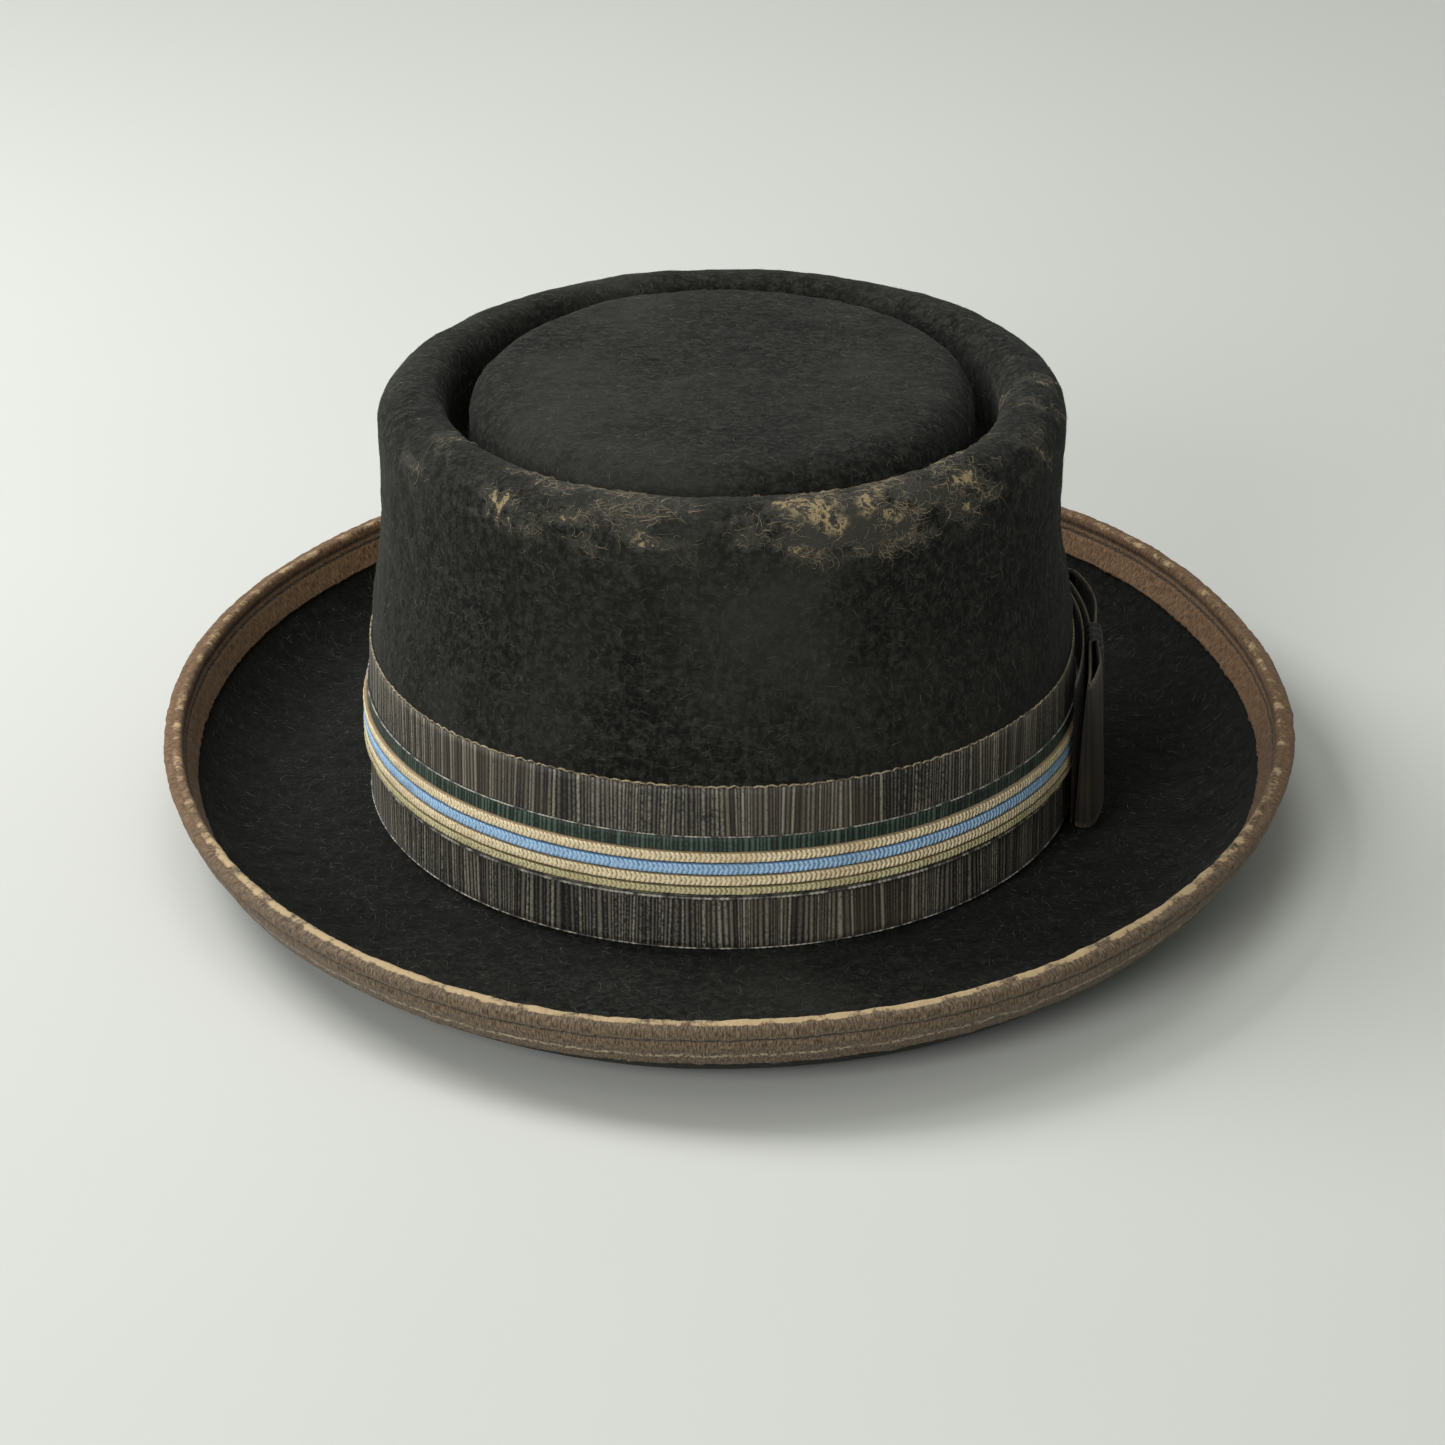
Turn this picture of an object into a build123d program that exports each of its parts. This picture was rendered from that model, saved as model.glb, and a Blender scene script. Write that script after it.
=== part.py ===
from build123d import *
from math import cos, hypot, pi, radians, sin, sqrt
import os

# A fur-felt hat with a telescope crown: a low dome stands inside a narrow groove and a rounded rim,
# and the oval brim curls up all the way round to a ribbon-bound lip.
# Frame: +Z up, +X the wearer's left (the bow's side), -Y the front. The origin is on the surface that
# the brim rests on, under the middle of the head opening.
#
# Every oval piece is a profile swept round an oval. A profile corner is (a, b, z, radius): a is the half
# width along X, b the half length along Y, z the height, and radius rounds the corner. Distances along
# and across a profile are taken in the mean plane, where the distance from the middle is (a + b) / 2.

# Overall size of the felt
crown_half_width = 86.5       # outer face of the crown where it meets the brim
crown_half_length = 100.3
lip_half_width = 136.0        # upper face of the brim at its lip
lip_half_length = 170.3
felt_thickness = 2.4

# Brim
brim_break_height = 4.6       # upper face of the brim where it meets the crown
brim_break_radius = 1.2
rest_ring_width = 3.0         # flat ring under the brim that the hat rests on
rest_ring_radius = 30.0       # softens the start of the rest ring
curl_radius = 29.5            # upper face of the curl
curl_angle = 72.0             # how far the lip has turned up

# Crown
shoulder_height = 52.0        # where the wall starts to lean in, above the band
shoulder_radius = 80.0
shoulder_lean_side = 0.3      # lean from the brim up to there, at the sides
shoulder_lean_end = 4.4       # and at the front and back
waist_height = 76.0           # where the wall stands nearly upright again
waist_radius = 70.0
waist_lean_side = 3.4         # lean from the shoulder to the waist
waist_lean_end = 6.4
rim_height = 109.2            # top of the rim
rim_flare_side = -0.2         # lean from the waist to the rim's corner
rim_flare_end = 1.8
rim_width_side = 16.2
rim_width_end = 15.0
rim_outer_radius = 9.4
rim_inner_radius = 6.0
groove_gap_side = 5.6
groove_gap_end = 3.8
groove_depth = 22.0
groove_radius = 2.2
dome_rise = 2.4               # how far the dome's middle stands above the rim
dome_slope = 0.7              # how far the dome falls from its middle to its shoulder
dome_shoulder_radius = 10.0
dome_flat = 10.0              # half width of the flat middle of the dome

# Ribbons and braids on the outside
cloth_gap = 0.05              # hair-thin gap between sewn layers
inner_gap = 0.15              # between the looser layers inside the crown
band_width = 39.0
band_thickness = 0.6
stripe_foot = 12.3            # lower edge of the striped ribbon above the band's lower edge
stripe_width = 15.3
stripe_thickness = 0.5
braid_thickness = 1.0
braid_gap = 0.3
olive_braid_width = 1.9
cream_braid_width = 2.4
blue_braid_width = 2.6
braid_foot = 1.5              # lowest braid above the striped ribbon's lower edge

# Brim binding
binding_thickness = 0.9
binding_outside_width = 12.5
binding_inside_width = 10.0
binding_lip_radius = 0.85
outside_stitch_depth = 6.5    # stitch line below the lip, along the ribbon
inside_stitch_depth = 4.5
binding_thread = 0.4

# Bow
bow_ribbon_width = 37.0
bow_ribbon_thickness = 0.6
bow_lift = 1.1                # lower edge of the bow above the band's lower edge
front_loop_length = 34.0      # from the middle of the knot
back_loop_length = 41.0
backing_length = 64.0
bow_centre_y = -2.0
loop_rise = 1.6               # how far a loop bulges beyond its pinched middle
knot_width = 15.0
knot_thickness = 0.7
knot_corner_radius = 0.6

# Sweatband and reed
sweatband_thickness = 1.1
sweatband_foot = 3.4
sweatband_top = 50.0
reed_diameter = 1.4
reed_height = 1.6             # middle of the reed above the rest surface
tape_thickness = 0.3
tape_top = 10.0
sweatband_stitch_height = 7.0
sweatband_thread = 0.5
seam_tape_width = 11.0
seam_tape_thickness = 0.3
seam_tape_foot = 9.0
small_bow_width = 22.0
small_bow_height = 9.0
small_bow_waist = 3.4
small_bow_thickness = 0.9
small_bow_foot = 11.0
small_knot_width = 5.0
small_knot_height = 5.6
small_knot_thickness = 1.7
tag_thickness = 0.2
tag_width = 15.0
tag_foot = 32.0
tag_top = 47.0
tag_y = 62.0

# Lining
lining_thickness = 0.3
lining_foot = 26.0
lining_clearance = 1.6        # between the felt under the groove and the lining's upper edge
tip_drop = 1.6                # from the lining's upper edge to its tip
tip_sag = 1.4                 # how far the tip hangs down in the middle
piping_diameter = 1.6

# Thread tacks on the back half of the band
tack_length = 3.0
tack_diameter = 0.5
tack_angles = (48, 90, 132)   # degrees round from +X
tack_edge_distance = 1.2      # from the tack's upper end to the band's upper edge


tiny = 1e-4                   # shorter pieces of a profile are left out


def mean_step(start, end):
    """The step from one corner to another in the mean plane."""
    return (end[0] - start[0] + end[1] - start[1]) / 2, end[2] - start[2]


def unit_step(start, end):
    """The same step, one unit long."""
    across, up = mean_step(start, end)
    length = hypot(across, up)
    return across / length, up / length


def part_way(start, end, fraction):
    """The point at a fraction of the way between two corners."""
    return tuple(start[i] + (end[i] - start[i]) * fraction for i in range(3))


def offset_run(run, distance):
    """The run shifted sideways, by a distance to the left of its direction, as a parallel layer."""
    steps = [unit_step(start, end) for start, end in zip(run, run[1:])]
    shifted = []
    for (a, b, z, radius), before, after in zip(run, steps[:1] + steps, steps + steps[-1:]):
        mitre = distance / (1 + before[0] * after[0] + before[1] * after[1])
        across = -(before[1] + after[1]) * mitre
        up = (before[0] + after[0]) * mitre
        turn = before[0] * after[1] - before[1] * after[0]
        tighter = distance if turn > 0 else -distance
        shifted.append((a + across, b + across, z + up, max(radius - tighter, 0) if radius else 0))
    return shifted


def half_turn_cos(before, after):
    """The cosine of half the turn between two unit steps."""
    return sqrt((1 + before[0] * after[0] + before[1] * after[1]) / 2)


def corner_reaches(run, closed):
    """How far each rounding runs along its legs. Two that share a leg share its length."""
    count = len(run)
    wanted = []
    for i, corner in enumerate(run):
        is_end = not closed and i in (0, count - 1)
        turn_cos = 1
        if not is_end:
            turn_cos = half_turn_cos(unit_step(run[i - 1], corner), unit_step(corner, run[(i + 1) % count]))
        wanted.append(0 if is_end else corner[3] * sqrt(1 - min(turn_cos, 1)**2) / turn_cos)
    reaches = []
    for i, reach in enumerate(wanted):
        for j in ((i - 1) % count, (i + 1) % count):
            if reach > 0:
                leg = hypot(*mean_step(run[i], run[j]))
                reach = min(reach, leg * wanted[i] / (wanted[i] + wanted[j]))
        reaches.append(reach)
    return reaches


def profile_pieces(run, closed):
    """Straight pieces and rounded corners of a run, as (points, weights) of rational curves."""
    count = len(run)
    corners = []
    for i, reach in enumerate(corner_reaches(run, closed)):
        corner = run[i]
        if reach < tiny:
            corners.append((corner[:3], corner[:3], 1))
            continue
        previous, following = run[i - 1], run[(i + 1) % count]
        weight = half_turn_cos(unit_step(previous, corner), unit_step(corner, following))
        entry = part_way(corner, previous, reach / hypot(*mean_step(corner, previous)))
        leave = part_way(corner, following, reach / hypot(*mean_step(corner, following)))
        corners.append((entry, leave, weight))
    pieces = []
    for i, (entry, leave, weight) in enumerate(corners):
        if weight < 1:
            pieces.append(([entry, run[i][:3], leave], [1, weight, 1]))
        if closed or i < count - 1:
            next_entry = corners[(i + 1) % count][0]
            if hypot(*mean_step(leave, next_entry)) > tiny:
                pieces.append(([leave, next_entry], [1, 1]))
    return pieces


quarter_weights = [1, sqrt(0.5), 1]
quarter_signs = [(1, 1), (-1, 1), (-1, -1), (1, -1)]


def quarter_points(point, signs):
    """Control points of a quarter of the oval through a profile point."""
    a, b, z = point
    return [(signs[0] * a, 0, z), (signs[0] * a, signs[1] * b, z), (0, signs[1] * b, z)]


def oval_wire(point):
    """The oval through a profile point."""
    return Wire([Edge.make_bezier(*quarter_points(point, signs), weights=quarter_weights)
                 for signs in quarter_signs])


def flat_oval(point):
    """The flat oval face inside a profile point."""
    return Face(oval_wire(point))


def flat_ring(points):
    """The flat ring face between two profile points at one height."""
    inner, outer = sorted(points)
    return Face(oval_wire(outer), [oval_wire(inner)])


def swept_faces(pieces):
    """A flat ring for each level piece of a profile, and four quarter faces for any other piece."""
    faces = []
    for points, weights in pieces:
        if len(points) == 2 and abs(points[0][2] - points[1][2]) < tiny:
            faces.append(flat_ring(points))
            continue
        grid_weights = [[weight * quarter for quarter in quarter_weights] for weight in weights]
        for signs in quarter_signs:
            grid = [quarter_points(point, signs) for point in points]
            faces.append(Face.make_bezier_surface(grid, grid_weights))
    return faces


def oval_ring(loop):
    """A ring whose section is a closed loop of corners."""
    return Solid(Shell(swept_faces(profile_pieces(loop, closed=True))))


def ring_layer(run, near, far):
    """A ring of material between two distances from a run."""
    return oval_ring(offset_run(run, near) + offset_run(run, far)[::-1])


def closed_layer(run, near, far):
    """A layer over a run that starts beside the middle axis, closed there by flat ovals."""
    upper = offset_run(run, far)
    lower = offset_run(run, near)
    outline = profile_pieces(upper, closed=False)
    outline += [([upper[-1][:3], lower[-1][:3]], [1, 1])]
    outline += profile_pieces(lower[::-1], closed=False)
    return Solid(Shell(swept_faces(outline) + [flat_oval(upper[0][:3]), flat_oval(lower[0][:3])]))


round_ring_corners = 8


def round_ring(point, diameter):
    """A ring of round section through a profile point."""
    a, b, z = point[:3]
    turn = 2 * pi / round_ring_corners
    reach = diameter / 2 / cos(turn / 2)
    loop = []
    for i in range(round_ring_corners):
        across, up = reach * cos(turn * i), reach * sin(turn * i)
        loop.append((a + across, b + across, z + up, diameter / 2))
    return oval_ring(loop)


# ---- Profile of the felt's outer face, from the middle of the dome out to the lip ----

curl_turn = radians(curl_angle)
curl_centre = (
    lip_half_width - curl_radius * sin(curl_turn),
    lip_half_length - curl_radius * sin(curl_turn),
    felt_thickness + curl_radius,
)


def curl_point(angle, radius, round_off):
    """The profile point at an angle from the curl's lowest line."""
    a, b, z = curl_centre
    return a + radius * sin(angle), b + radius * sin(angle), z - radius * cos(angle), round_off


def curl_run(start, end):
    """The part of the curl's upper face between two angles, as one rounded corner."""
    half = (end - start) / 2
    corner = curl_point(start + half, curl_radius / cos(half), curl_radius)
    return [curl_point(start, curl_radius, 0), corner, curl_point(end, curl_radius, 0)]


wall_foot = (crown_half_width, crown_half_length, brim_break_height, brim_break_radius)


def leaned(point, side, end, height, round_off):
    """The next profile point up the crown, nearer the middle by a side and an end distance."""
    return point[0] - side, point[1] - end, height, round_off


shoulder = leaned(wall_foot, shoulder_lean_side, shoulder_lean_end, shoulder_height, shoulder_radius)
waist = leaned(shoulder, waist_lean_side, waist_lean_end, waist_height, waist_radius)
rim_outer = leaned(waist, rim_flare_side, rim_flare_end, rim_height, rim_outer_radius)
rim_inner = leaned(rim_outer, rim_width_side, rim_width_end, rim_height, rim_inner_radius)
groove_floor = rim_height - groove_depth
groove_outer = leaned(rim_inner, 0, 0, groove_floor, groove_radius)
groove_inner = leaned(groove_outer, groove_gap_side, groove_gap_end, groove_floor, groove_radius)
dome_top = rim_height + dome_rise
dome_shoulder = leaned(groove_inner, 0, 0, dome_top - dome_slope, dome_shoulder_radius)
dome_middle = (dome_flat, dome_flat * crown_half_length / crown_half_width, dome_top, 0)
rest_ring = (
    curl_centre[0] - rest_ring_width,
    curl_centre[1] - rest_ring_width,
    felt_thickness,
    rest_ring_radius,
)
crown_run = [rim_outer, waist, shoulder, wall_foot]
felt_run = [dome_middle, dome_shoulder, groove_inner, groove_outer, rim_inner]
felt_run += crown_run + [rest_ring] + curl_run(0, curl_turn)[1:]


def wall_at(height):
    """The point of the crown's outer face at a height, before its bends are rounded."""
    for upper, lower in zip(crown_run, crown_run[1:]):
        if height >= lower[2]:
            break
    return part_way(lower, upper, (height - lower[2]) / (upper[2] - lower[2])) + (0,)


def wall_run(top, foot):
    """The crown's outer face between two heights, downwards, so that its left is outside."""
    bends = [corner for corner in crown_run[1:-1] if foot < corner[2] < top]
    return [wall_at(top)] + bends + [wall_at(foot)]


# ---- Ribbons and braids ----

band_foot = brim_break_height + brim_break_radius
band_top = band_foot + band_width
on_band = band_thickness + 2 * cloth_gap
on_stripe = on_band + stripe_thickness + cloth_gap
on_braid = on_stripe + braid_thickness + cloth_gap

stripe_foot_height = band_foot + stripe_foot
braid_stack = [
    ("olive_braid", olive_braid_width),
    ("cream_braid_lower", cream_braid_width),
    ("blue_braid", blue_braid_width),
    ("cream_braid_upper", cream_braid_width),
]


def braids():
    """The four flat braids, laid side by side up the striped ribbon."""
    foot = stripe_foot_height + braid_foot
    made = {}
    for name, width in braid_stack:
        made[name] = ring_layer(wall_run(foot + width, foot), on_stripe, on_stripe + braid_thickness)
        foot += width + braid_gap
    return made


def band_tacks():
    """Short thread bars that lie upright on the band, near its upper edge."""
    middle = wall_at(band_top - tack_edge_distance - tack_length / 2)
    stand_off = on_band + tack_diameter / 2
    tacks = []
    for angle in tack_angles:
        x = (middle[0] + stand_off) * cos(radians(angle))
        y = (middle[1] + stand_off) * sin(radians(angle))
        bar = Cylinder(tack_diameter / 2, tack_length)
        lean = Rotation(0, 0, angle) * Rotation(0, -wall_lean_angle(angle), 0)
        tacks.append(Pos(x, y, middle[2]) * lean * bar)
    return Compound(children=tacks)


def wall_lean_angle(angle):
    """How far the wall under the band leans in, in degrees, at an angle round the crown."""
    lean = shoulder_lean_side * cos(radians(angle))**2 + shoulder_lean_end * sin(radians(angle))**2
    return Vector(0, 0, 1).get_angle(Vector(lean, 0, shoulder_height - brim_break_height))


# ---- Brim binding ----

def binding_wrap(distance, corner_radius):
    """One face of the binding, from its inside edge over the lip to its outside edge."""
    inside_start = curl_turn - binding_inside_width / curl_radius
    outside_start = curl_turn - binding_outside_width / (curl_radius + felt_thickness)
    inside = offset_run(curl_run(inside_start, curl_turn), distance)
    outside = offset_run(curl_run(outside_start, curl_turn), -felt_thickness - distance)
    corners = []
    for a, b, z, _ in (inside[-1], outside[-1]):
        along, up = distance * cos(curl_turn), distance * sin(curl_turn)
        corners.append((a + along, b + along, z + up, corner_radius))
    return inside + corners + outside[::-1]


def brim_binding():
    """The ribbon folded over the lip."""
    outer = binding_wrap(cloth_gap + binding_thickness, binding_lip_radius)
    return oval_ring(outer + binding_wrap(cloth_gap, 0)[::-1])


def binding_stitches():
    """The face thread and the under thread, which lie on the two faces of the binding."""
    surface = 2 * cloth_gap + binding_thickness + binding_thread / 2
    inside_radius = curl_radius - surface
    outside_radius = curl_radius + felt_thickness + surface
    inside = curl_point(curl_turn - inside_stitch_depth / inside_radius, inside_radius, 0)
    outside = curl_point(curl_turn - outside_stitch_depth / outside_radius, outside_radius, 0)
    return Compound(children=[round_ring(inside, binding_thread), round_ring(outside, binding_thread)])


# ---- Bow, on the wearer's left ----
# At the side the oval is close to a circle of this radius, and the bow's layers are arcs about its middle.

side_radius = crown_half_length**2 / crown_half_width
side_centre_x = crown_half_width - side_radius
bow_foot = band_foot + bow_lift
on_backing = on_braid + bow_ribbon_thickness + cloth_gap
knot_reach = abs(bow_centre_y) + knot_width / 2
knot_sag = side_radius - sqrt(side_radius**2 - knot_reach**2)
on_knot = on_backing + knot_thickness + knot_sag + 2 * cloth_gap
pinch_depth = 4 * bow_ribbon_thickness


def bow_point(stand_off, y):
    """The point at a distance from the crown's side and a place along it."""
    radius = side_radius + stand_off
    return side_centre_x + sqrt(radius**2 - y**2), y


def bow_arc(stand_off, start_y, end_y):
    """An arc that follows the crown's side at a distance."""
    middle_y = (start_y + end_y) / 2
    return ThreePointArc(
        bow_point(stand_off, start_y), bow_point(stand_off, middle_y), bow_point(stand_off, end_y))


def upright(outline, foot, height):
    """The closed outline in plan, as an upright solid."""
    return Pos(0, 0, foot) * extrude(make_face(outline), height)


def bow_backing():
    """The flat ribbon under the bow's loops."""
    start_y = bow_centre_y - backing_length / 2
    end_y = bow_centre_y + backing_length / 2
    inner = bow_arc(on_braid, start_y, end_y)
    outer = bow_arc(on_braid + bow_ribbon_thickness, end_y, start_y)
    ends = Line(inner @ 1, outer @ 0) + Line(outer @ 1, inner @ 0)
    return upright(inner + outer + ends, bow_foot, bow_ribbon_width)


def bow_loop(length, direction):
    """A flattened ribbon loop from the middle of the knot, open at its upper and lower edges."""
    pinch_y = bow_centre_y + direction * knot_width / 2
    fold_y = bow_centre_y + direction * (length - pinch_depth / 2)
    swell_y = (pinch_y + fold_y) / 2
    outlines = []
    for inset in (0, bow_ribbon_thickness):
        near = on_knot + inset
        far = on_knot + pinch_depth - inset
        root_y = bow_centre_y + direction * (cloth_gap + inset)
        tip = bow_point(on_knot + pinch_depth / 2, bow_centre_y + direction * (length - inset))
        inner = bow_arc(near, root_y, fold_y)
        fold = ThreePointArc(inner @ 1, tip, bow_point(far, fold_y))
        swell = ThreePointArc(fold @ 1, bow_point(far + loop_rise, swell_y), bow_point(far, pinch_y))
        pinch = bow_arc(far, pinch_y, root_y)
        outlines.append(inner + fold + swell + pinch + Line(pinch @ 1, inner @ 0))
    skin = make_face(outlines[0]) - make_face(outlines[1])
    return Pos(0, 0, bow_foot) * extrude(skin, bow_ribbon_width)


def bow_knot():
    """The short wrap round the loops' pinched middle, over its upper and lower edges."""
    near_x = bow_point(on_knot, knot_reach)[0] - cloth_gap
    far_x = bow_point(on_knot + pinch_depth, 0)[0] + cloth_gap
    low = bow_foot - cloth_gap
    high = bow_foot + bow_ribbon_width + cloth_gap
    hole = Box(far_x - near_x, knot_width, high - low)
    wrap = Box(far_x - near_x + 2 * knot_thickness, knot_width, high - low + 2 * knot_thickness)
    wrap = fillet(wrap.edges().filter_by(Axis.Y), knot_corner_radius)
    return Pos((near_x + far_x) / 2, bow_centre_y, (low + high) / 2) * (wrap - hole)


# ---- Head opening: reed, sweatband and lining, counted inwards from the crown's outer face ----

in_felt = felt_thickness + inner_gap
in_tape = in_felt + tape_thickness
in_tag = in_felt + lining_thickness + inner_gap
in_sweatband = in_tag + tag_thickness + inner_gap
in_leather = in_sweatband + sweatband_thickness + cloth_gap
in_seam_tape = in_leather + seam_tape_thickness + cloth_gap


def shifted(point, inwards, height):
    """A wall point moved inwards, at a height of its own."""
    return point[0] - inwards, point[1] - inwards, height, 0


def reed_tape():
    """The tape that hangs against the felt and folds up round the reed."""
    fold = reed_diameter / 2 + inner_gap
    top = shifted(wall_at(tape_top), in_tape, tape_top)
    foot = wall_at(sweatband_foot)
    outside = shifted(foot, in_tape, reed_height - fold)[:3] + (fold,)
    inside = shifted(foot, in_tape + 2 * fold, reed_height - fold)[:3] + (fold,)
    edge = shifted(foot, in_tape + 2 * fold, sweatband_foot - tape_thickness - cloth_gap)
    return ring_layer([top, outside, inside, edge], 0, tape_thickness)


def sweatband_reed():
    """The round reed inside the fold of the tape."""
    inwards = in_tape + inner_gap + reed_diameter / 2
    return round_ring(shifted(wall_at(sweatband_foot), inwards, reed_height), reed_diameter)


def sweatband():
    """The leather band that the head touches."""
    return ring_layer(wall_run(sweatband_top, sweatband_foot), -in_sweatband - sweatband_thickness,
                      -in_sweatband)


def sweatband_stitches():
    """The thread line round the foot of the sweatband."""
    inwards = in_leather + sweatband_thread / 2
    point = wall_at(sweatband_stitch_height)
    return round_ring(shifted(point, inwards, sweatband_stitch_height), sweatband_thread)


def back_piece(outline, near, far, foot, top):
    """A piece of a layer inside the crown's back, cut to an outline in the XZ plane."""
    layer = ring_layer(wall_run(top, foot), -far, -near)
    return layer & extrude(make_face(Plane.XZ * outline), -2 * crown_half_length)


def rectangle_outline(width, foot, top, x=0):
    """A rectangle in the XZ plane, as a closed line."""
    half = width / 2
    return Polyline((x - half, foot), (x + half, foot), (x + half, top), (x - half, top), close=True)


def sweatband_seam_tape():
    """The strip over the sweatband's butted ends."""
    outline = rectangle_outline(seam_tape_width, seam_tape_foot, sweatband_top)
    return back_piece(outline, in_leather, in_leather + seam_tape_thickness, seam_tape_foot, sweatband_top)


def sweatband_bow():
    """A small flat bow with its knot, sewn over the seam."""
    half, waist = small_bow_width / 2, small_bow_waist / 2
    top = small_bow_foot + small_bow_height
    middle = (small_bow_foot + top) / 2
    wings = Polyline((-half, small_bow_foot), (0, middle - waist), (half, small_bow_foot), (half, top),
                     (0, middle + waist), (-half, top), close=True)
    near = in_seam_tape
    bow = back_piece(wings, near, near + small_bow_thickness, small_bow_foot, top)
    knot_foot = middle - small_knot_height / 2
    knot_top = middle + small_knot_height / 2
    outline = rectangle_outline(small_knot_width, knot_foot, knot_top)
    return bow + back_piece(outline, near, near + small_knot_thickness, knot_foot, knot_top)


def size_tag():
    """A blank tag tucked between the lining and the sweatband, at the back."""
    layer = ring_layer(wall_run(tag_top, tag_foot), -in_tag - tag_thickness, -in_tag)
    cutter = Pos(crown_half_width, tag_y, (tag_foot + tag_top) / 2)
    return layer & cutter * Box(2 * crown_half_width, tag_width, tag_top - tag_foot)


def lining_side():
    """The lining's side wall, from behind the sweatband up to the piping."""
    return ring_layer(wall_run(lining_top, lining_foot), -in_felt - lining_thickness, -in_felt)


piping_inwards = in_felt + lining_thickness + inner_gap + piping_diameter / 2
lining_top = groove_floor - felt_thickness - lining_clearance
tip_height = lining_top - tip_drop


def lining_piping():
    """The cord between the lining's side and its tip."""
    height = tip_height + lining_thickness / 2
    return round_ring(shifted(wall_at(height), piping_inwards, height), piping_diameter)


def lining_tip():
    """The lining's oval top, which sags a little in the middle."""
    edge = shifted(wall_at(tip_height), piping_inwards + piping_diameter / 2 + cloth_gap, tip_height)
    middle = (dome_middle[0], dome_middle[1], tip_height - tip_sag, 0)
    return closed_layer([middle, edge], 0, lining_thickness)


parts = {
    "felt_body": closed_layer(felt_run, -felt_thickness, 0),
    "brim_binding": brim_binding(),
    "binding_stitches": binding_stitches(),
    "hat_band": ring_layer(wall_run(band_top, band_foot), cloth_gap, cloth_gap + band_thickness),
    "stripe_ribbon": ring_layer(wall_run(stripe_foot_height + stripe_width, stripe_foot_height),
                                on_band, on_band + stripe_thickness),
    **braids(),
    "band_tacks": band_tacks(),
    "bow_backing": bow_backing(),
    "bow_front_loop": bow_loop(front_loop_length, -1),
    "bow_back_loop": bow_loop(back_loop_length, 1),
    "bow_knot": bow_knot(),
    "reed_tape": reed_tape(),
    "sweatband_reed": sweatband_reed(),
    "sweatband": sweatband(),
    "sweatband_stitches": sweatband_stitches(),
    "sweatband_seam_tape": sweatband_seam_tape(),
    "sweatband_bow": sweatband_bow(),
    "size_tag": size_tag(),
    "lining_side": lining_side(),
    "lining_piping": lining_piping(),
    "lining_tip": lining_tip(),
}

os.makedirs("parts", exist_ok=True)
for name, solid in parts.items():
    export_step(solid, f"parts/{name}.step")
    box = solid.bounding_box().size
    print(f"{name}: {box.X:.1f} x {box.Y:.1f} x {box.Z:.1f} mm")
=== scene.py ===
# %% [markdown]
# # A worn felt hat with a pinched crown
# This lesson builds the looks of a vintage fur-felt hat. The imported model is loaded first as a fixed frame:
# every piece below is built over it, in the same place and at the same size, and then rides on its body.

# %% Load the frame
import math

import bpy
import numpy as np
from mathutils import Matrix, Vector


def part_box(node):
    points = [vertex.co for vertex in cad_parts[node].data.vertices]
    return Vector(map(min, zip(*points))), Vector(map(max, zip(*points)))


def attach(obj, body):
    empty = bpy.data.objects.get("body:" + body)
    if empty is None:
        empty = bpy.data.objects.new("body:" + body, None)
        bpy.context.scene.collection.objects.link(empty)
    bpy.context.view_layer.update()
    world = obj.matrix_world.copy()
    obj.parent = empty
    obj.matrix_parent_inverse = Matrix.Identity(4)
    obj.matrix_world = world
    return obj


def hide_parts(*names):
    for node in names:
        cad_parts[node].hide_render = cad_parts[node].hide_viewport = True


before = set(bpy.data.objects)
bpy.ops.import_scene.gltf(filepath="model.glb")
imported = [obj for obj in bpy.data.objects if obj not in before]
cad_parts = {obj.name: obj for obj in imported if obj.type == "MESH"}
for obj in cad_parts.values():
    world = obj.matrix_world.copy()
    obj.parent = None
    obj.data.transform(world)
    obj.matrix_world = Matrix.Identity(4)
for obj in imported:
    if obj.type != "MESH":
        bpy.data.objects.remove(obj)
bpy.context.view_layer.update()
print("CAD nodes:", len(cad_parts))

# %% [markdown]
# Work on a hat is easier in millimetres, so the script thinks in them and turns to metres only when a
# mesh is made. Every random draw comes from one seeded generator per piece, so each run is the same.

# %% Units and boxes
MM = 0.001


def box_mm(node):
    """The lowest and highest corners of a CAD node, in millimetres."""
    low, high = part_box(node)
    return np.array(low) / MM, np.array(high) / MM


def dice(name):
    """A random generator of its own for each piece."""
    return np.random.default_rng(sum(ord(letter) * (place + 7) for place, letter in enumerate(name)))


felt_low, felt_high = box_mm("felt_body")
print("felt, mm:", (felt_high - felt_low).round(1))

# %% [markdown]
# The camera and the light come before any piece, so that every later step can be looked at. A long lens
# from above the front shows the rim as an oval. The floor is a wide pale sheet that turns up far away,
# as a studio's paper roll does, so that the hat has no horizon behind it from any side.

# %% Camera
camera_height = 23.95         # degrees above the floor, seen from the hat
camera_reach = 1.370          # metres from the hat
look_at_height = 0.0186
lens = 137.5
tilt = math.radians(camera_height)
camera = bpy.data.objects.new("camera", bpy.data.cameras.new("camera"))
bpy.context.scene.collection.objects.link(camera)
camera.location = (0, -camera_reach * math.cos(tilt), look_at_height + camera_reach * math.sin(tilt))
camera.rotation_euler = (math.pi / 2 - tilt, 0, 0)
camera.data.lens = lens
camera.data.clip_end = 40
bpy.context.scene.camera = camera
print("camera at", tuple(round(x, 3) for x in camera.location))

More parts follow.
